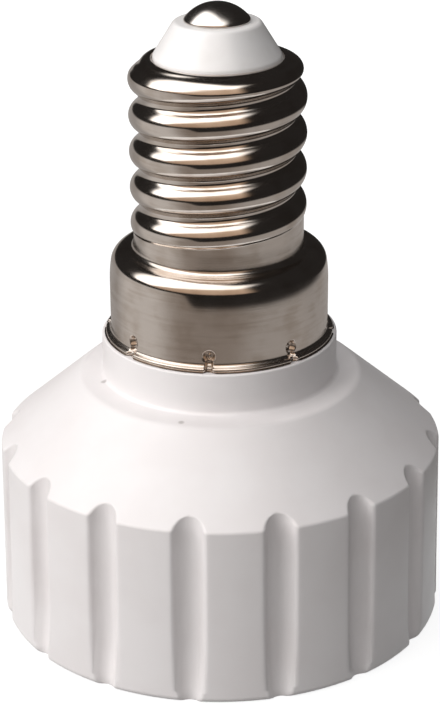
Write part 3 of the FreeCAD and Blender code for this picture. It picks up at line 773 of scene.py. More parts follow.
def spread_angles(count: int, start: float, offsets: Sequence[float], between: float) -> list[float]:
    """Angles that repeat a pattern of offsets about evenly spaced centres.

    Args:
        count: number of centres once round.
        start: angle of the first centre.
        offsets: offsets from a centre, on one side, from 0 up.
        between: widest step left between two centres.

    Returns:
        The angles in rising order, less than one turn in all.
    """
    pitch = 360 / count
    side = [*offsets]
    gap = pitch / 2 - side[-1]
    steps = max(1, math.ceil(gap / between))
    side += [side[-1] + gap * step / steps for step in range(1, steps + 1)]
    pattern = [-item for item in reversed(side[1:-1])] + side
    return [start + pitch * place + item for place in range(count) for item in pattern]


# Geometry trees


def evaluated(piece: bpy.types.Object) -> bpy.types.Mesh:
    """A new mesh of an object as its modifiers leave it."""
    graph = bpy.context.evaluated_depsgraph_get()
    return bpy.data.meshes.new_from_object(piece.evaluated_get(graph))


class Shaper(Graph):
    """A geometry tree with named inputs, which ends in Realize Instances and Set Material."""

    least_radius = 0.001

    def __init__(self, name: str, sizes: Mapping[str, float], material: bpy.types.Material) -> None:
        """Makes the tree's inputs.

        Args:
            name: the tree's name.
            sizes: named sizes in millimetres, degrees or counts.
            material: what the shaped mesh is made of.
        """
        super().__init__(bpy.data.node_groups.new(name, "GeometryNodeTree"))
        face = self.tree.interface
        face.new_socket(name="Geometry", in_out="INPUT", socket_type="NodeSocketGeometry")
        face.new_socket(name="Geometry", in_out="OUTPUT", socket_type="NodeSocketGeometry")
        self.sizes = dict(sizes)
        for size in sizes:
            face.new_socket(name=size, in_out="INPUT", socket_type="NodeSocketFloat")
        self.entry = self.node("NodeGroupInput")
        self.material = material
        here = self.millimetres(self.node("GeometryNodeInputPosition").outputs[0])
        self.x, self.y, self.z = self.split(here)
        self.radius = self.most(self.root(self.x * self.x + self.y * self.y), self.least_radius)
        self.angle = self.math("ARCTAN2", self.y, self.x)

    def size(self, name: str) -> Term:
        """A named input."""
        return Term(self, self.entry.outputs[name])

    def offset_from_nearest(self, count: Term, first: Term) -> Term:
        """Angle from the nearest of some evenly spaced centres.

        Args:
            count: number of centres once round.
            first: angle of the first one in degrees.

        Returns:
            The angle in radians.
        """
        pitch = math.tau / count
        start = first * math.radians(1.0)
        return (((self.angle - start) / pitch + 0.5) % 1.0 - 0.5) * pitch

    def end(self, radial: Amount, upward: Amount) -> None:
        """Moves each point and ends the tree.

        Args:
            radial: how far a point goes outwards, in millimetres.
            upward: how far it goes up.
        """
        grow = radial / self.radius * MM
        move = self.join(self.x * grow, self.y * grow, upward * MM)
        source = self.entry.outputs["Geometry"]
        moved = self.node("GeometryNodeSetPosition", sockets={"Geometry": source, "Offset": move})
        whole = self.node("GeometryNodeRealizeInstances", sockets={0: moved.outputs[0]})
        sockets = {"Geometry": whole.outputs[0], "Material": self.material}
        dressed = self.node("GeometryNodeSetMaterial", sockets=sockets)
        self.node("NodeGroupOutput", sockets={0: dressed.outputs[0]})

    def apply(self, name: str, mesh: bpy.types.Mesh) -> bpy.types.Object:
        """Shapes a mesh.

        Args:
            name: the new object's name.
            mesh: the mesh before its shaping.

        Returns:
            A plain object at the origin.
        """
        base = linked(name + " blank", mesh)
        modifier = base.modifiers.new("shape", "NODES")
        modifier.node_group = self.tree
        for item in self.tree.interface.items_tree:
            if item.in_out == "INPUT" and item.name in self.sizes:
                modifier[item.identifier] = float(self.sizes[item.name])
        shaped = evaluated(base)
        bpy.data.objects.remove(base)
        shaped.name = name
        return linked(name, shaped)


# Pieces


def smooth(mesh: bpy.types.Mesh, edge_angle: float) -> None:
    """Shades a mesh smooth, and keeps edges sharper than the angle, in degrees."""
    mesh.shade_smooth()
    mesh.set_sharp_from_angle(angle=math.radians(edge_angle))


def stand_for(piece: bpy.types.Object, node: str) -> None:
    """Ties a finished piece to the frame in place of a node.

    Args:
        piece: the finished piece.
        node: the node it replaces.
    """
    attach(piece, "root")
    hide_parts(node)
    log.info("%s: %d faces", piece.name, len(piece.data.polygons))


def plain_object(name: str, mesh: bpy.types.Mesh, material: bpy.types.Material) -> bpy.types.Object:
    """A linked object at the origin with one material."""
    dress(mesh, material)
    return linked(name, mesh)


def dress(mesh: bpy.types.Mesh, material: bpy.types.Material) -> None:
    """Gives a mesh one material."""
    mesh.materials.clear()
    mesh.materials.append(material)


@dataclass
class FlutedHousing:
    """The white moulding: fluted skirt, cone, ring, neck and spigot, hollow underneath."""

    foot_radius: float = 17.45
    skirt_top_radius: float = 17.25
    skirt_height: float = 14.15
    foot_rounding: float = 0.5
    skirt_rounding: float = 0.35
    ring_radius: float = 10.95
    ring_height: float = 19.6
    ring_rise: float = 0.2
    ring_rounding: float = 0.9
    neck_radius: float = 9.1
    neck_top: float = 23.0
    spigot_radius: float = 8.05
    spigot_top: float = 27.8
    groove_depth: float = 0.45
    groove_low: float = 23.6
    groove_high: float = 24.7
    neck_fillet: float = 0.35
    spigot_rounding: float = 0.15
    edge_rounding: float = 0.1
    roof_fillet: float = 0.2
    cavity_fillet: float = 0.5
    rim_rounding: float = 0.3
    bore_radius: float = 6.2
    roof_height: float = 16.95
    cavity_radius: float = 13.9
    cavity_shoulder: float = 14.398
    ledge_height: float = 7.6
    well_radius: float = 14.5
    flute_count: int = 16
    flute_first_angle: float = 14.6
    flute_radius: float = 1.15
    flute_depth: float = 1.0
    flute_foot_step: float = 0.4
    flute_foot_height: float = 0.2
    flute_foot_rise: float = 2.2
    flute_rounding: float = 0.42
    flute_fade: float = 0.12
    foot_rows: tuple[tuple[float, float, int], ...] = ((0.56, 0.01, 7), (0.94, 0.014, 4))
    skirt_rows: int = 26
    arch_height: float = 15.3
    floor_step: float = 0.1
    floor_steps: int = 10
    wall_steps: tuple[float, ...] = (
        0.98, 1.03, 1.07, 1.11, 1.15, 1.19, 1.23, 1.27, 1.31, 1.35, 1.39, 1.46, 1.7,
    )
    widest_turn: float = 2.0
    even_count: int = 288
    coarse_count: int = 128
    boss_place: float = 12.05
    boss_radius: float = 1.95
    boss_length: float = 8.7
    boss_count: int = 40
    pilot_radius: float = 0.8
    pilot_depth: float = 6.5
    notch_floor: float = 7.2
    notch_width: float = 1.0
    notch_length: float = 3.2
    notch_over: float = 1.0
    notch_angle: float = 210.0
    sharp_angle: float = 38.0

    def rings(self) -> list[Station]:
        """Outline of the moulding before its flutes.

        Returns:
            Its rings, outside up and inside down.
        """
        fine, coarse = Division.FINE, Division.COARSE
        cone = (self.skirt_top_radius - self.ring_radius) / (self.ring_height - self.skirt_height)
        arch_radius = self.skirt_top_radius - (self.arch_height - self.skirt_height) * cone
        groove = self.spigot_radius - self.groove_depth
        feet = [
            Corner(self.foot_radius - inset, height, division=fine, rows=rows)
            for height, inset, rows in self.foot_rows
        ]
        return stations(
            [
                Corner(self.foot_radius, 0.0, self.foot_rounding, 6, 2, fine),
                *feet,
                Corner(
                    self.skirt_top_radius, self.skirt_height, self.skirt_rounding, 8, self.skirt_rows, fine
                ),
                Corner(arch_radius, self.arch_height, division=fine),
                Corner(self.ring_radius, self.ring_height, self.ring_rounding, 10, 2),
                Corner(self.neck_radius, self.ring_height + self.ring_rise, self.neck_fillet, 6),
                Corner(self.neck_radius, self.neck_top, self.spigot_rounding, 4),
                Corner(self.spigot_radius, self.neck_top),
                Corner(self.spigot_radius, self.groove_low),
                Corner(groove, self.groove_low),
                Corner(groove, self.groove_high),
                Corner(self.spigot_radius, self.groove_high),
                Corner(self.spigot_radius, self.spigot_top, self.spigot_rounding, 2),
                Corner(self.bore_radius, self.spigot_top, self.edge_rounding, 2, 1, coarse),
                Corner(self.bore_radius, self.roof_height, self.roof_fillet, 3, 1, coarse),
                Corner(self.ring_radius, self.roof_height, self.cavity_fillet, 4, 1, coarse),
                Corner(self.cavity_radius, self.cavity_shoulder, self.cavity_fillet, 4, 1, coarse),
                Corner(self.cavity_radius, self.ledge_height, 0.0, 1, 1, coarse),
                Corner(self.well_radius, self.ledge_height, self.edge_rounding, 2, 2, coarse),
                Corner(self.well_radius, 0.0, self.rim_rounding, 4, 1, coarse),
            ]
        )

    def angles(self) -> dict[Division, list[float]]:
        """Divides the rings, finely at the flutes' walls.

        Returns:
            Angles by division.
        """
        across = [*(step * self.floor_step for step in range(self.floor_steps)), *self.wall_steps]
        offsets = [math.degrees(item / self.foot_radius) for item in across]
        fine = spread_angles(self.flute_count, self.flute_first_angle, offsets, self.widest_turn)
        return ring_angles(fine, self.even_count, self.coarse_count)

    def flute_tree(self, material: bpy.types.Material) -> Shaper:
        """Presses the flutes into the skirt and the foot of the cone.

        Args:
            material: what the moulding is made of.

        Returns:
            The tree that does so.
        """
        sizes = {
            "Flutes": self.flute_count,
            "First angle": self.flute_first_angle,
            "Flute radius": self.flute_radius,
            "Axis distance": self.foot_radius + self.flute_radius - self.flute_depth,
            "Lean": (self.foot_radius - self.skirt_top_radius) / self.skirt_height,
            "Foot height": self.flute_foot_height,
            "Foot step": self.flute_foot_step,
            "Foot rise": self.flute_foot_rise,
            "Edge rounding": self.flute_rounding,
            "Fade": self.flute_fade,
        }
        tree = Shaper("skirt flutes", sizes, material)
        step = tree.size("Foot step")
        edge = tree.size("Edge rounding")
        low = tree.size("Foot height")
        rise = tree.ramp(tree.z, low, low + tree.size("Foot rise"))
        section = tree.size("Flute radius") - step * (1 - rise)
        axis = tree.size("Axis distance") - tree.size("Lean") * tree.z
        side = abs(tree.offset_from_nearest(tree.size("Flutes"), tree.size("First angle")) * tree.radius)
        bite = section - (axis - tree.radius)
        fade = tree.size("Fade")
        eased = tree.least(tree.most(bite + fade, 0.0), 2 * fade)
        bite = eased * eased / (4 * fade) + tree.most(bite - fade, 0.0)
        gap = section - bite
        wide = tree.root((section + edge) * (section + edge) - (gap + edge) * (gap + edge))
        touch = wide * section / (section + edge)
        floor = tree.root(section * section - side * side) - gap
        brim = edge - tree.root(edge * edge - (wide - side) * (wide - side))
        inside = side < touch
        depth = inside * floor + (1 - inside) * (side < wide) * brim
        tree.end(depth * -1.0, 0.0)
        return tree

    def boss(self, side: float) -> bpy.types.Mesh:
        """A screw boss with its pilot hole.

        Args:
            side: 1 for the boss behind the axis and -1 for the one before it.

        Returns:
            The boss's mesh in its place.
        """
        low, top = self.ledge_height, self.ledge_height + self.boss_length
        rings = stations(
            [
                Corner(self.boss_radius, low, self.edge_rounding, 2),
                Corner(self.boss_radius, top),
                Corner(0.0, top),
                Corner(0.0, low + self.pilot_depth),
                Corner(self.pilot_radius, low + self.pilot_depth),
                Corner(self.pilot_radius, low, self.edge_rounding, 2),
            ]
        )
        mesh = TurnedForm("boss", rings, {Division.EVEN: even_angles(self.boss_count)}).mesh()
        mesh.transform(Matrix.Translation((0.0, side * self.boss_place * MM, 0.0)))
        return mesh

    def notch_cutter(self) -> bpy.types.Object:
        """The block that cuts the conductor's notch out of the spigot.

        Returns:
            The block, which is removed after the cut.
        """
        form = bmesh.new()
        bmesh.ops.create_cube(form, size=1.0)
        depth = self.neck_radius - self.notch_floor
        size = Vector((depth, self.notch_width, self.notch_length + self.notch_over)) * MM
        bmesh.ops.scale(form, vec=size, verts=form.verts)
        middle = self.spigot_top - self.notch_length / 2 + self.notch_over / 2
        centre = Vector((self.notch_floor + depth / 2, 0.0, middle)) * MM
        bmesh.ops.translate(form, vec=centre, verts=form.verts)
        turn = Matrix.Rotation(math.radians(self.notch_angle), 3, "Z")
        bmesh.ops.rotate(form, cent=(0, 0, 0), matrix=turn, verts=form.verts)
        return linked("notch cutter", settled("notch", form))

    def build(self, finish: MouldedWhite) -> None:
        """Builds the moulding in place of its solid.

        Args:
            finish: the moulding's finish.
        """
        material = finish.material()
        base = TurnedForm("housing", self.rings(), self.angles()).mesh()
        piece = self.flute_tree(material).apply("fluted_housing", base)
        cutter = self.notch_cutter()
        cut = piece.modifiers.new("notch", "BOOLEAN")
        cut.operation = "DIFFERENCE"
        cut.solver = "EXACT"
        cut.object = cutter
        mesh = evaluated(piece)
        for item in (piece, cutter):
            bpy.data.objects.remove(item)
        form = bmesh.new()
        form.from_mesh(mesh)
        for side in (1.0, -1.0):
            form.from_mesh(self.boss(side))
        form.to_mesh(mesh)
        form.free()
        smooth(mesh, self.sharp_angle)
        stand_for(plain_object("fluted_housing", mesh, material), "housing")


@dataclass
class RolledShell:
    """The nickel-plated screw shell, one sheet with lip, collar, shoulder, band and thread."""

    sheet: float = 0.3
    foot: float = 23.05
    lip_radius: float = 8.8
    flare_radius: float = 0.3
    collar_radius: float = 8.4
    barrel_start: float = 27.4
    barrel_radius: float = 9.0
    shoulder_height: float = 29.85
    shoulder_rounding: float = 1.15
    band_radius: float = 6.5
    band_fillet: float = 0.45
    band_top: float = 31.0
    root_radius: float = 5.95
    crest_radius: float = 6.7
    pitch: float = 2.822
    first_crest: float = 31.92
    crest_share: float = 0.70
    run_out_start: float = 43.6
    run_out: float = 1.3
    top: float = 44.8
    top_rounding: float = 0.85
    opening: float = 4.95
    stake_count: int = 8
    stake_first_angle: float = -95.4
    stake_height: float = 24.15
    stake_radius: float = 0.5
    stake_press: float = 0.42
    lip_roundings: tuple[float, float] = (0.12, 0.14)
    edge_rounding: float = 0.08
    inner_rounding: float = 0.9
    inner_flare: float = 0.8
    marked_top: float = 25.0
    barrel_rows: int = 13
    barrel_step: float = 0.1
    shoulder_draw: float = 0.17
    thread_rows: int = 112
    stake_step: float = 0.375
    stake_steps: int = 17
    widest_turn: float = 1.6
    even_count: int = 256
    coarse_count: int = 160
    just_above: float = 0.01
    run_in: float = 0.35
    early_turn: tuple[float, float] = (0.62, 0.97)
    early_phase: tuple[float, float] = (0.03, 0.14)
    late_phase: tuple[float, float] = (-0.97, -0.86)
    bowl_limits: tuple[float, float] = (0.40, 1.10)
    pip_limit: float = 0.45
    pip_rise: float = 0.30
    notch_width: tuple[float, float] = (0.12, 0.38)
    notch_height: tuple[float, float] = (0.25, 0.55)
    notch_press: float = 0.75
    skin_radius: float = 7.9
    stakes_end: float = 26.0
    sharp_angle: float = 50.0

    def barrel(self, height: float) -> float:
        """Radius of the collar at a height: straight, then drawing in a little towards the shoulder."""
        rise = max(height - self.barrel_start, 0.0)
        return self.collar_radius - rise * rise / (2 * self.barrel_radius)

    def rings(self) -> list[Station]:
        """Outline of the sheet before its thread and stakes.

        Returns:
            Its rings, outside up and inside down.
        """
        fine, coarse = Division.FINE, Division.COARSE
        lip_top = self.foot + self.sheet
        step = (self.top - self.top_rounding - self.band_top) / self.thread_rows
        heights = [self.band_top + step * row for row in range(1, self.thread_rows)]
        barrel = [self.barrel_start + self.barrel_step * part for part in range(self.barrel_rows)]
        neck = self.barrel(barrel[-1]) - self.shoulder_draw
        outside = [
            Corner(self.lip_radius, self.foot, self.lip_roundings[0], 4, 1, fine),
            Corner(self.lip_radius, lip_top, self.lip_roundings[1], 5, 1, fine),
            Corner(self.collar_radius, lip_top, self.flare_radius, 10, 16, fine),
            Corner(self.collar_radius, self.marked_top, rows=3),
            *(Corner(self.barrel(height), height) for height in barrel),
            Corner(neck, self.shoulder_height, self.shoulder_rounding, 18),
            Corner(self.band_radius, self.shoulder_height, self.band_fillet, 8, 3),
            Corner(self.band_radius, self.band_top),
            *(Corner(self.root_radius, height) for height in heights),
            Corner(self.root_radius, self.top, self.top_rounding, 16, 2),
        ]
        root, band, collar = (
            radius - self.sheet for radius in (self.root_radius, self.band_radius, self.collar_radius)
        )
        top, shoulder = self.top - self.sheet, self.shoulder_height - self.sheet
        inside = [
            Corner(self.opening, self.top, self.edge_rounding, 2, 1, coarse),
            Corner(self.opening, top, self.edge_rounding, 2, 1, coarse),
            Corner(root, top, self.top_rounding - self.sheet, 6, 1, coarse),
            *(Corner(root, height, 0.0, 1, 1, coarse) for height in heights[::-3]),
            Corner(band, self.band_top - self.sheet / 2, 0.0, 1, 1, coarse),
            Corner(band, shoulder, self.band_fillet + self.sheet, 5, 1, coarse),
            Corner(collar, shoulder, self.inner_rounding, 6, 1, coarse),
            Corner(collar, self.marked_top, 0.0, 1, 12, coarse),
            Corner(collar, self.foot, self.inner_flare, 6, 1, coarse),
        ]
        return stations(outside + inside)

    def angles(self) -> dict[Division, list[float]]:
        """Divides the rings, finely at the stakes.

        Returns:
            Angles by division.
        """
        offsets = [self.stake_step * step for step in range(self.stake_steps)]
        fine = spread_angles(self.stake_count, self.stake_first_angle, offsets, self.widest_turn)
        return ring_angles(fine, self.even_count, self.coarse_count)

    def shaping_tree(self, material: bpy.types.Material) -> Shaper:
        """Rolls the thread into the tube and presses the stakes in.

        Args:
            material: what the sheet is made of.

        Returns:
            The tree that does so.
        """
        sizes = {
            "Pitch": self.pitch,
            "Depth": self.crest_radius - self.root_radius,
            "First crest": self.first_crest,
            "Crest share": self.crest_share,
            "Band top": self.band_top,
            "Band rise": self.band_radius - self.root_radius,
            "Run-out start": self.run_out_start,
            "Run-out": self.run_out,
            "Roll start": self.top - self.top_rounding,
            "Roll radius": self.top_rounding,
            "Stakes": self.stake_count,
            "First stake": self.stake_first_angle,
            "Stake height": self.stake_height,
            "Stake radius": self.stake_radius,
            "Stake press": self.stake_press,
            "Lip height": self.foot + self.sheet,
            "Stake top": self.stakes_end,
            "Skin radius": self.skin_radius,
        }
        tree = Shaper("rolled thread and stakes", sizes, material)
        roll, bend = tree.size("Roll start"), tree.size("Roll radius")
        rise = tree.least(tree.most((tree.z - roll) / bend, 0.0), 1.0)
        lean = tree.math("ARCSINE", rise)
        wave = self.wave(tree, tree.least(tree.z, roll) + lean * bend)
        tree.end(wave * tree.math("COSINE", lean) - self.dent(tree), wave * tree.math("SINE", lean))
        return tree

    def wave(self, tree: Shaper, height: Term) -> Term:
        """The thread's wave.

        Args:
            tree: the tree that it is part of.
            height: the height along the sheet, which goes on over the rolled-in top.

        Returns:
            How far the sheet stands out of the thread's root.
        """
        pitch, depth = tree.size("Pitch"), tree.size("Depth")
        turn = (tree.angle + math.pi) / math.tau
        phase = (height - tree.size("First crest")) / pitch - turn
        within = (phase + 0.5) % 1.0
        along = abs(within - 0.5) * pitch
        half, share = pitch / 2, tree.size("Crest share")
        both = (half * half + depth * depth) / (2 * depth)
        crest_bow, root_bow = both * share, both * (1 - share)
        crest = depth - (crest_bow - tree.root(crest_bow * crest_bow - along * along))
        rest = half - along
        valley = root_bow - tree.root(root_bow * root_bow - rest * rest)
        near_crest = along < half * share
        wave = near_crest * crest + (1 - near_crest) * valley
        end = tree.size("Run-out start")
        grown = tree.ramp(phase + 0.5 - within + turn, -self.run_in, 0.0)
        wave = wave * grown * tree.fall(height, end, end + tree.size("Run-out"))
        early = tree.fall(turn, *self.early_turn) * tree.fall(phase, *self.early_phase)
        plain = tree.size("Band rise") * tree.most(early, tree.fall(phase, *self.late_phase))
        return tree.most(wave, plain) * (tree.z > tree.size("Band top") + self.just_above)

    def dent(self, tree: Shaper) -> Term:
        """The stakes, and the lip's notches below them.

        Args:
            tree: the tree that they are part of.

        Returns:
            How far the sheet is pressed in.
        """
        offset = tree.offset_from_nearest(tree.size("Stakes"), tree.size("First stake"))
        side = offset * tree.radius
        level = tree.z - tree.size("Stake height")
        gap = tree.root(side * side + level * level)
        mark, press = tree.size("Stake radius"), tree.size("Stake press")
        bowl = tree.fall(gap, *(mark * limit for limit in self.bowl_limits)) * press
        pip = tree.fall(gap, 0.0, mark * self.pip_limit) * press * self.pip_rise
        below = tree.fall(tree.z, *(tree.size("Lip height") + limit for limit in self.notch_height))
        notch = tree.fall(abs(side), *self.notch_width) * below * press * self.notch_press
        outside = (tree.radius > tree.size("Skin radius")) * (tree.z < tree.size("Stake top"))
        return (bowl - pip + notch) * outside

    def build(self, finish: RolledNickel) -> None:
        """Builds the shell in place of its solid.

        Args:
            finish: the sheet's finish.
        """
        base = TurnedForm("shell", self.rings(), self.angles()).mesh()
        piece = self.shaping_tree(finish.material()).apply("rolled_screw_shell", base)
        smooth(piece.data, self.sharp_angle)
        stand_for(piece, "screw_shell")


class TurnedPiece:
    """A turned piece that stands for a node without any shaping."""

    title: str
    node: str
    slot: str
    count: int
    sharp_angle: float

    def corners(self) -> list[Corner]:
        """Corners of the piece's outline."""
        raise NotImplementedError

    def build(self, finish: Finish) -> None:
        """Builds the piece in place of its solid.

        Args:
            finish: the piece's finish.
        """
        form = TurnedForm(self.slot, stations(self.corners()), {Division.EVEN: even_angles(self.count)})
        mesh = form.mesh()
        smooth(mesh, self.sharp_angle)
        stand_for(plain_object(self.title, mesh, finish.material()), self.node)


@dataclass
class CapInsulator(TurnedPiece):
    """The white insulator that fills the shell's top: flange inside, conical nose above."""

    flange_radius: float = 5.6
    flange_foot: float = 42.1
    flange_top: float = 44.5
    nose_radius: float = 4.82
    nose_foot: float = 44.95
    top: float = 47.5
    top_radius: float = 3.25
    top_rounding: float = 0.45
    bore: float = 1.25
    hollow_radius: float = 3.8
    hollow_top: float = 43.7
    foot_rounding: float = 0.15
    shoulder_rounding: float = 0.5
    nose_fillet: float = 0.05
    edge_rounding: float = 0.1
    hollow_fillet: float = 0.2
    title: str = "cap_nose"
    node: str = "cap_insulator"
    slot: str = "insulator"
    count: int = 160
    sharp_angle: float = 50.0

    def corners(self) -> list[Corner]:
        """Outline of the insulator.

        Returns:
            Its corners, outside up and inside down.
        """
        return [
            Corner(self.flange_radius, self.flange_foot, self.foot_rounding, 3),
            Corner(self.flange_radius, self.flange_top, self.shoulder_rounding, 4),
            Corner(self.nose_radius, self.flange_top, self.nose_fillet, 2, 2),
            Corner(self.nose_radius, self.nose_foot, self.shoulder_rounding, 6, 8),
            Corner(self.top_radius, self.top, self.top_rounding, 8, 2),
            Corner(self.bore, self.top, self.edge_rounding, 2),
            Corner(self.bore, self.hollow_top, self.edge_rounding, 2),
            Corner(self.hollow_radius, self.hollow_top, self.hollow_fillet, 3),
            Corner(self.hollow_radius, self.flange_foot, self.edge_rounding, 2),
        ]


@dataclass
class CentreContact(TurnedPiece):
    """The domed centre contact with its hollow shank, clinched under the insulator."""

    head_radius: float = 2.5
    seat: float = 47.5
    rim: float = 0.15
    crown: float = 48.9
    shank_radius: float = 1.2
    bore: float = 0.55
    bore_top: float = 45.7
    clinch_radius: float = 1.9
    clinch_foot: float = 43.3
    clinch_top: float = 43.7
    foot_edge: float = 0.04
    rim_edge: float = 0.03
    dome_inset: float = 0.06
    dome_steps: int = 22
    clinch_rounding: float = 0.1
    title: str = "contact_dome"
    node: str = "centre_contact"
    slot: str = "contact"
    count: int = 128
    sharp_angle: float = 45.0

    def dome(self) -> list[Corner]:
        """The head, from its rim to the crown.

        Returns:
            The corners of its outline.
        """
        rise = self.crown - self.seat - self.rim
        ball = (self.head_radius**2 + rise**2) / (2 * rise)
        centre = self.crown - ball
        first = math.asin((self.head_radius - self.dome_inset) / ball)
        turns = [first * (1 - step / self.dome_steps) for step in range(self.dome_steps + 1)]
        return [Corner(ball * math.sin(turn), centre + ball * math.cos(turn)) for turn in turns]

    def corners(self) -> list[Corner]:
        """Outline of the contact.

        Returns:
            Its corners, up the shank, over the head and down the bore.
        """
        return [
            Corner(self.shank_radius, self.clinch_top),
            Corner(self.shank_radius, self.seat),
            Corner(self.head_radius - self.foot_edge, self.seat),
            Corner(self.head_radius, self.seat + self.foot_edge),
            Corner(self.head_radius, self.seat + self.rim - self.rim_edge),
            *self.dome(),
            Corner(0.0, self.bore_top),
            Corner(self.bore, self.bore_top),
            Corner(self.bore, self.clinch_foot),
            Corner(self.clinch_radius, self.clinch_foot, self.clinch_rounding, 2),
            Corner(self.clinch_radius, self.clinch_top, self.clinch_rounding, 2),
        ]


@dataclass
class SocketInside:
    """The parts inside and below, which keep their solids and get their finishes."""

    insert: InsertWhite = field(default_factory=InsertWhite)
    spring: PressedMetal = PressedMetal("spring bronze", (0.78, 0.56, 0.30), (0.60, 0.42, 0.24), 0.26)
    rivet: PressedMetal = PressedMetal("rivet brass", (0.80, 0.64, 0.36), (0.62, 0.48, 0.27), 0.30)
    screw: PressedMetal = PressedMetal("zinc screw", (0.60, 0.61, 0.62), (0.46, 0.46, 0.46), 0.32)
    live: SleevedWire = SleevedWire("live wire sleeve", (0.74, 0.72, 0.68), 15.55, 42.2)
    neutral: SleevedWire = SleevedWire("neutral wire sleeve", (0.70, 0.68, 0.63), 15.55, 26.3)

    def build(self, nodes: Mapping[str, bpy.types.Object]) -> None:
        """Dresses each node that stays.

        Args:
            nodes: the frame's objects by node.
        """
        finishes = (
            (self.insert.material(), ("socket_insert", "insert_cover")),
            (self.spring.material(), ("contact_spring_live", "contact_spring_neutral")),
            (self.rivet.material(), ("rivet_live", "rivet_neutral")),
            (self.screw.material(), ("insert_screw_left", "insert_screw_right")),
            (self.live.material(), ("live_wire",)),
            (self.neutral.material(), ("neutral_wire",)),
        )
        for material, names in finishes:
            for name in names:
                dress(nodes[name].data, material)
                log.info("%s: %s", name, material.name)


# Studio


def from_axis(azimuth: float, elevation: float, distance: float) -> Vector:
    """A place round the object.

    Args:
        azimuth: degrees from the camera's side towards its right.
        elevation: degrees above level.
        distance: metres from the object's middle.

    Returns:
        The place, as seen from that middle.
    """
    turn, lift = math.radians(azimuth), math.radians(elevation)
    level = distance * math.cos(lift)
    return Vector((level * math.sin(turn), -level * math.cos(turn), distance * math.sin(lift)))


def facing(place: Vector, target: Vector) -> Matrix:
    """Turns a lamp towards a target.

    Args:
        place: where the lamp stands.
        target: what it shines at.

    Returns:
        The lamp's matrix.
    """
    matrix = (target - place).to_track_quat("-Z", "Y").to_matrix().to_4x4()
    matrix.translation = place
    return matrix


@dataclass(frozen=True)
class SoftBox:
    """A rectangular lamp, placed by its direction from the object, that gloss doesn't see."""

    name: str
    azimuth: float
    elevation: float
    distance: float
    width: float
    height: float
    radiance: float
    colour: Colour

    def build(self, target: Vector) -> None:
        """Adds the lamp, as bright all over as its radiance says.

        Args:
            target: the object's middle.
        """
        data = bpy.data.lights.new(self.name, "AREA")
        data.shape = "RECTANGLE"
        data.size = self.width
        data.size_y = self.height
        data.color = self.colour
        data.energy = self.radiance * math.pi * self.width * self.height
        lamp = linked(self.name, data)
        lamp.visible_glossy = False
        lamp.matrix_world = facing(target + from_axis(self.azimuth, self.elevation, self.distance), target)


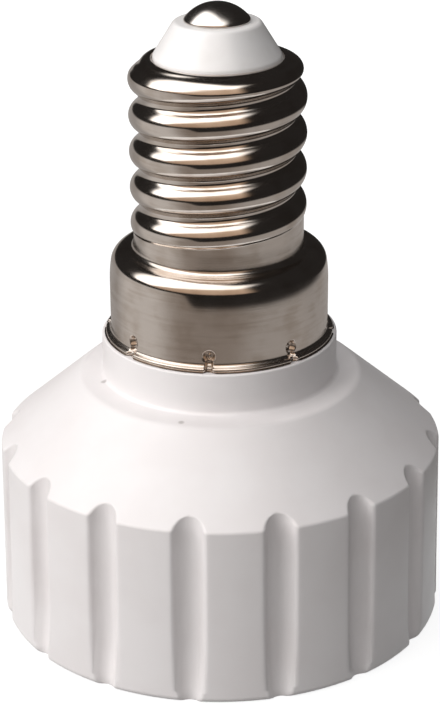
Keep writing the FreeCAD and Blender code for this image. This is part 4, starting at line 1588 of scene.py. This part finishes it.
@dataclass(frozen=True)
class PaintedSurroundings:
    """Painted reflections: a glowing room, no lamp, that only gloss sees, with a ceiling panel to the
    left that paints the highlights, a warm front, and dark sides.

    It is a half globe over a floor ring, and glows by direction from the object's middle; below
    the horizon it paints the floor, lighter on the left and darker to the right and in front.
    Panel edges are level distances over height, and the other edges are angles in degrees.
    """

    reach: float = 0.5
    columns: int = 64
    rows: int = 48
    cut_below: float = -1e-4
    ring_start: float = 0.032
    ring_lift: float = 0.3
    least_height: float = 1.0
    panel_foot: float = 2.0
    panel_left: float = -3.0
    panel_right: float = 0.42
    panel_front: float = -0.78
    panel_back: float = 0.55
    panel_back_right: float = -0.2
    slant_first: float = -0.5
    slant_last: float = 0.25
    panel_edge: float = 0.17
    # Glow of the painted highlight panel, brighter than white.
    panel: Colour = (2.5, 2.45, 2.4)
    # Painted reflections of a warm, lit front and of dark sides.
    warm_first: float = -75.0
    warm_last: float = 34.0
    warm_side: float = 9.0
    warm_foot: float = 14.0
    warm_top: float = 64.0
    warm_edge: float = 3.0
    warm_low: Colour = (0.62, 0.45, 0.33)
    warm_high: Colour = (0.95, 0.74, 0.56)
    dark: Colour = (0.024, 0.022, 0.021)
    # Painted floor reflection: lighter on the left, darker to the right, darkest in front, dull behind.
    floor_left: Colour = (0.68, 0.655, 0.63)
    floor_right: Colour = (0.44, 0.415, 0.395)
    floor_front: Colour = (0.31, 0.27, 0.24)
    floor_side: Colour = (0.40, 0.38, 0.365)
    floor_first: float = -54.0
    floor_last: float = 26.0
    floor_edge: float = 17.0
    side_first: float = -118.0
    side_last: float = 98.0
    side_edge: float = 14.0
    turn_first: float = -30.0
    turn_last: float = 40.0
    # Where the painted floor reflection gives way to the glow above it.
    horizon_left: float = 3.0
    horizon_right: float = -12.5
    horizon_first: float = -46.0
    horizon_last: float = -22.0
    horizon_edge: float = 2.0

    def build(self, target: Vector) -> None:
        """Adds the half globe and the floor ring.

        Args:
            target: the object's middle.
        """
        material = self.material(target)
        form = bmesh.new()
        bmesh.ops.create_uvsphere(form, u_segments=self.columns, v_segments=self.rows, radius=self.reach)
        below = [point for point in form.verts if point.co.z < self.cut_below]
        bmesh.ops.delete(form, geom=below, context="VERTS")
        bmesh.ops.reverse_faces(form, faces=form.faces)
        # The globe's glow paints reflections of a room.
        self.add("room", form, material)
        form = bmesh.new()
        lines = []
        for azimuth in even_angles(self.columns):
            ends = [from_axis(azimuth, 0.0, distance) for distance in (self.ring_start, self.reach)]
            lines.append([form.verts.new((end.x, end.y, self.ring_lift * MM)) for end in ends])
        for place, left in enumerate(lines):
            right = lines[(place + 1) % len(lines)]
            form.faces.new((left[0], left[1], right[1], right[0]))
        # The ring's glow paints the floor's reflection.
        self.add("floor ring", form, material)

    @staticmethod
    def add(name: str, form: bmesh.types.BMesh, material: bpy.types.Material) -> None:
        """Turns a form into a part of the studio that only gloss sees.

        Args:
            name: the part's name.
            form: its form.
            material: the glow.
        """
        part = plain_object(name, settled(name, form), material)
        part.visible_camera = False
        part.visible_diffuse = False
        part.visible_transmission = False
        part.visible_shadow = False

    def material(self, target: Vector) -> bpy.types.Material:
        """Glows with painted reflections, by the direction in which a place lies from the object's middle.

        Args:
            target: the object's middle.

        Returns:
            The glow's material.
        """
        paint = Paint("painted_surroundings")
        x, y, z = (part - away / MM for part, away in zip((paint.x, paint.y, paint.z), target))
        azimuth = paint.math("ARCTAN2", x, y * -1.0) * math.degrees(1.0)
        height = paint.math("ARCTAN2", z, paint.root(x * x + y * y)) * math.degrees(1.0)
        # Painted highlight: the glowing panel stands in for a lamp in reflections.
        above = self.ceiling(paint, x, y, z)
        # Painted reflection of a warm, lit front, with dark sides elsewhere.
        sides = paint.between(azimuth, self.warm_first, self.warm_last, self.warm_side)
        warm = sides * paint.between(height, self.warm_foot, self.warm_top, self.warm_edge)
        front = paint.blend(paint.ramp(height, self.warm_foot, self.warm_top), self.warm_low, self.warm_high)
        glow = paint.blend(above, paint.blend(warm, self.dark, front), self.panel)
        # Painted floor reflection below a horizon that is higher on the left than on the right.
        horizon = paint.ramp(
            azimuth, self.horizon_first, self.horizon_last, self.horizon_left, self.horizon_right
        )
        over = paint.ramp(height, horizon - self.horizon_edge, horizon + self.horizon_edge)
        glow = paint.blend(over, self.painted_floor_reflection(paint, azimuth), glow)
        constants = {"Base Color": (*BLACK, 1.0), "Specular IOR Level": 0.0, "Emission Strength": 1.0}
        paint.finish(constants, {"Emission Color": glow})
        return paint.material

    def ceiling(self, paint: Paint, x: Term, y: Term, z: Term) -> Term:
        """1 where the glowing ceiling panel is, which paints the highlights.

        Args:
            paint: the material's graph.
            x: millimetres to the right of the object's middle.
            y: millimetres behind it.
            z: millimetres above it.

        Returns:
            1 on the panel and 0 elsewhere, with soft edges.
        """
        over = paint.most(z, self.least_height)
        across = paint.between(x / over, self.panel_left, self.panel_right, self.panel_edge)
        back = paint.ramp(x / over, self.slant_first, self.slant_last, self.panel_back, self.panel_back_right)
        along = paint.between(y / over, self.panel_front, back, self.panel_edge)
        return across * along * (z > self.panel_foot)

    def painted_floor_reflection(self, paint: Paint, azimuth: Term) -> Term:
        """Painted reflection of the floor, as gloss sees it: lighter to the left, darker to the right,
        darkest in front.

        Args:
            paint: the material's graph.
            azimuth: direction from the object, in degrees.

        Returns:
            Its colour.
        """
        # Painted light and shade of the reflected floor, by direction.
        near = paint.between(azimuth, self.floor_first, self.floor_last, self.floor_edge)
        beside = paint.between(azimuth, self.side_first, self.side_last, self.side_edge)
        turned = paint.ramp(azimuth, self.turn_first, self.turn_last)
        painted_floor_reflection = paint.blend(turned, self.floor_left, self.floor_right)
        return paint.blend(near, paint.blend(beside, self.floor_side, painted_floor_reflection), self.floor_front)


@dataclass
class Studio:
    """White floor, soft light from three sides, the glowing room of painted reflections that gloss sees, and
    the camera.
    """

    target: Vector = field(default_factory=lambda: Vector((0.0, 0.0, 0.025)))
    distance: float = 0.1675
    elevation: float = 21.97
    roll: float = -0.43
    focal_pixels: float = 2165.0
    frame_size: tuple[int, int] = (440, 703)
    principal: tuple[float, float] = (219.2, 304.3)
    sensor: float = 36.0
    clip: tuple[float, float] = (0.01, 10.0)
    floor_size: float = 1.6
    floor_glow: Colour = (0.86, 0.86, 0.86)
    floor_shade: Colour = (0.25, 0.25, 0.25)
    shadow_reach: float = 0.07
    shadow_end: float = 3.0
    floor_colour: Colour = (0.22, 0.217, 0.214)
    world_colour: Colour = (0.95, 0.97, 1.0)
    world_strength: float = 0.12
    boxes: tuple[SoftBox, ...] = (
        SoftBox("left box", -66.0, 32.0, 0.42, 0.36, 0.34, 4.72, (1.0, 0.985, 0.975)),
        SoftBox("front box", -4.0, 46.0, 0.45, 0.45, 0.35, 1.5, (1.0, 0.985, 0.975)),
        SoftBox("back box", 178.0, 50.0, 0.45, 0.45, 0.35, 1.3, (1.0, 0.99, 0.985)),
    )
    painted_surroundings: PaintedSurroundings = PaintedSurroundings()

    def camera(self) -> None:
        """Adds the camera at the photograph's place, with its frame's shift and slight roll."""
        data = bpy.data.cameras.new("camera")
        data.sensor_fit = "VERTICAL"
        data.sensor_height = self.sensor
        data.lens = self.focal_pixels / self.frame_size[1] * self.sensor
        data.shift_x = (self.frame_size[0] / 2 - self.principal[0]) / self.frame_size[1]
        data.shift_y = (self.principal[1] - self.frame_size[1] / 2) / self.frame_size[1]
        data.clip_start, data.clip_end = self.clip
        eye = self.target + from_axis(0.0, self.elevation, self.distance)
        ahead = (self.target - eye).normalized()
        right = ahead.cross(Vector((0.0, 0.0, 1.0))).normalized()
        up = right.cross(ahead)
        tilt = math.radians(self.roll)
        level = right * math.cos(tilt) + up * math.sin(tilt)
        upright = up * math.cos(tilt) - right * math.sin(tilt)
        matrix = Matrix((level, upright, -ahead)).transposed().to_4x4()
        matrix.translation = eye
        camera = linked("camera", data)
        camera.matrix_world = matrix
        bpy.context.scene.camera = camera

    def floor(self) -> None:
        """Adds the floor, which shows white with the object's soft shadow."""
        material = bpy.data.materials.new("floor")
        material.use_nodes = True
        graph = Graph(material.node_tree)
        shown = self.shown(graph)
        lit = graph.node("ShaderNodeBsdfDiffuse", sockets={"Color": (*self.floor_colour, 1.0)})
        part = graph.node("ShaderNodeBsdfDiffuse", sockets={"Color": (*self.floor_shade, 1.0)})
        away = graph.distance(graph.node("ShaderNodeTexCoord").outputs["Object"])
        far = graph.ramp(away, self.shadow_reach, self.shadow_end * self.shadow_reach)
        colour = graph.blend(far, self.floor_glow, WHITE)
        glow = graph.node("ShaderNodeEmission", sockets={"Color": colour})
        white = graph.node("ShaderNodeAddShader", sockets={0: part.outputs[0], 1: glow.outputs[0]})
        sockets = {0: shown, 1: lit.outputs[0], 2: white.outputs[0]}
        mixed = graph.node("ShaderNodeMixShader", sockets=sockets)
        graph.node("ShaderNodeOutputMaterial", sockets={"Surface": mixed.outputs[0]})
        form = bmesh.new()
        bmesh.ops.create_grid(form, x_segments=1, y_segments=1, size=self.floor_size)
        plain_object("floor", settled("floor", form), material)

    @staticmethod
    def shown(graph: Graph) -> Term:
        """Finds the rays that show the background: from the camera, off gloss or through glass.

        Args:
            graph: the graph that asks.

        Returns:
            1 for such rays, else 0.
        """
        path = graph.node("ShaderNodeLightPath")
        kinds = ("Camera", "Glossy", "Transmission")
        camera, gloss, glass = (Term(graph, path.outputs[f"Is {kind} Ray"]) for kind in kinds)
        return graph.least(camera + gloss + glass, 1.0)

    def world(self) -> None:
        """Makes the world white as a background and dim as a light."""
        world = bpy.data.worlds.new("studio")
        world.use_nodes = True
        graph = Graph(world.node_tree)
        shown = self.shown(graph)
        strength = self.world_strength + shown * (1.0 - self.world_strength)
        colour = graph.blend(shown, self.world_colour, WHITE)
        light = graph.node("ShaderNodeBackground", sockets={"Color": colour, "Strength": strength})
        graph.node("ShaderNodeOutputWorld", sockets={"Surface": light.outputs[0]})
        bpy.context.scene.world = world

    def build(self) -> None:
        """Sets up the floor, the world, the lamps, the glowing room of painted reflections and the camera."""
        bpy.context.scene.view_settings.view_transform = "Standard"
        self.floor()
        self.world()
        for box in self.boxes:
            box.build(self.target)
        self.painted_surroundings.build(self.target)
        self.camera()
        log.info("studio: %d lamps and the surroundings", len(self.boxes))


def main() -> None:
    """Builds the adapter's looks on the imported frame."""
    logging.basicConfig(level=logging.INFO, format="%(name)s: %(message)s")
    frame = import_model()
    FlutedHousing().build(MouldedWhite())
    RolledShell().build(RolledNickel())
    CapInsulator().build(GlossyWhite())
    CentreContact().build(CONTACT_NICKEL)
    SocketInside().build(frame["nodes"])
    Studio().build()
    log.info("sizes written")


if __name__ == "__main__":
    main()
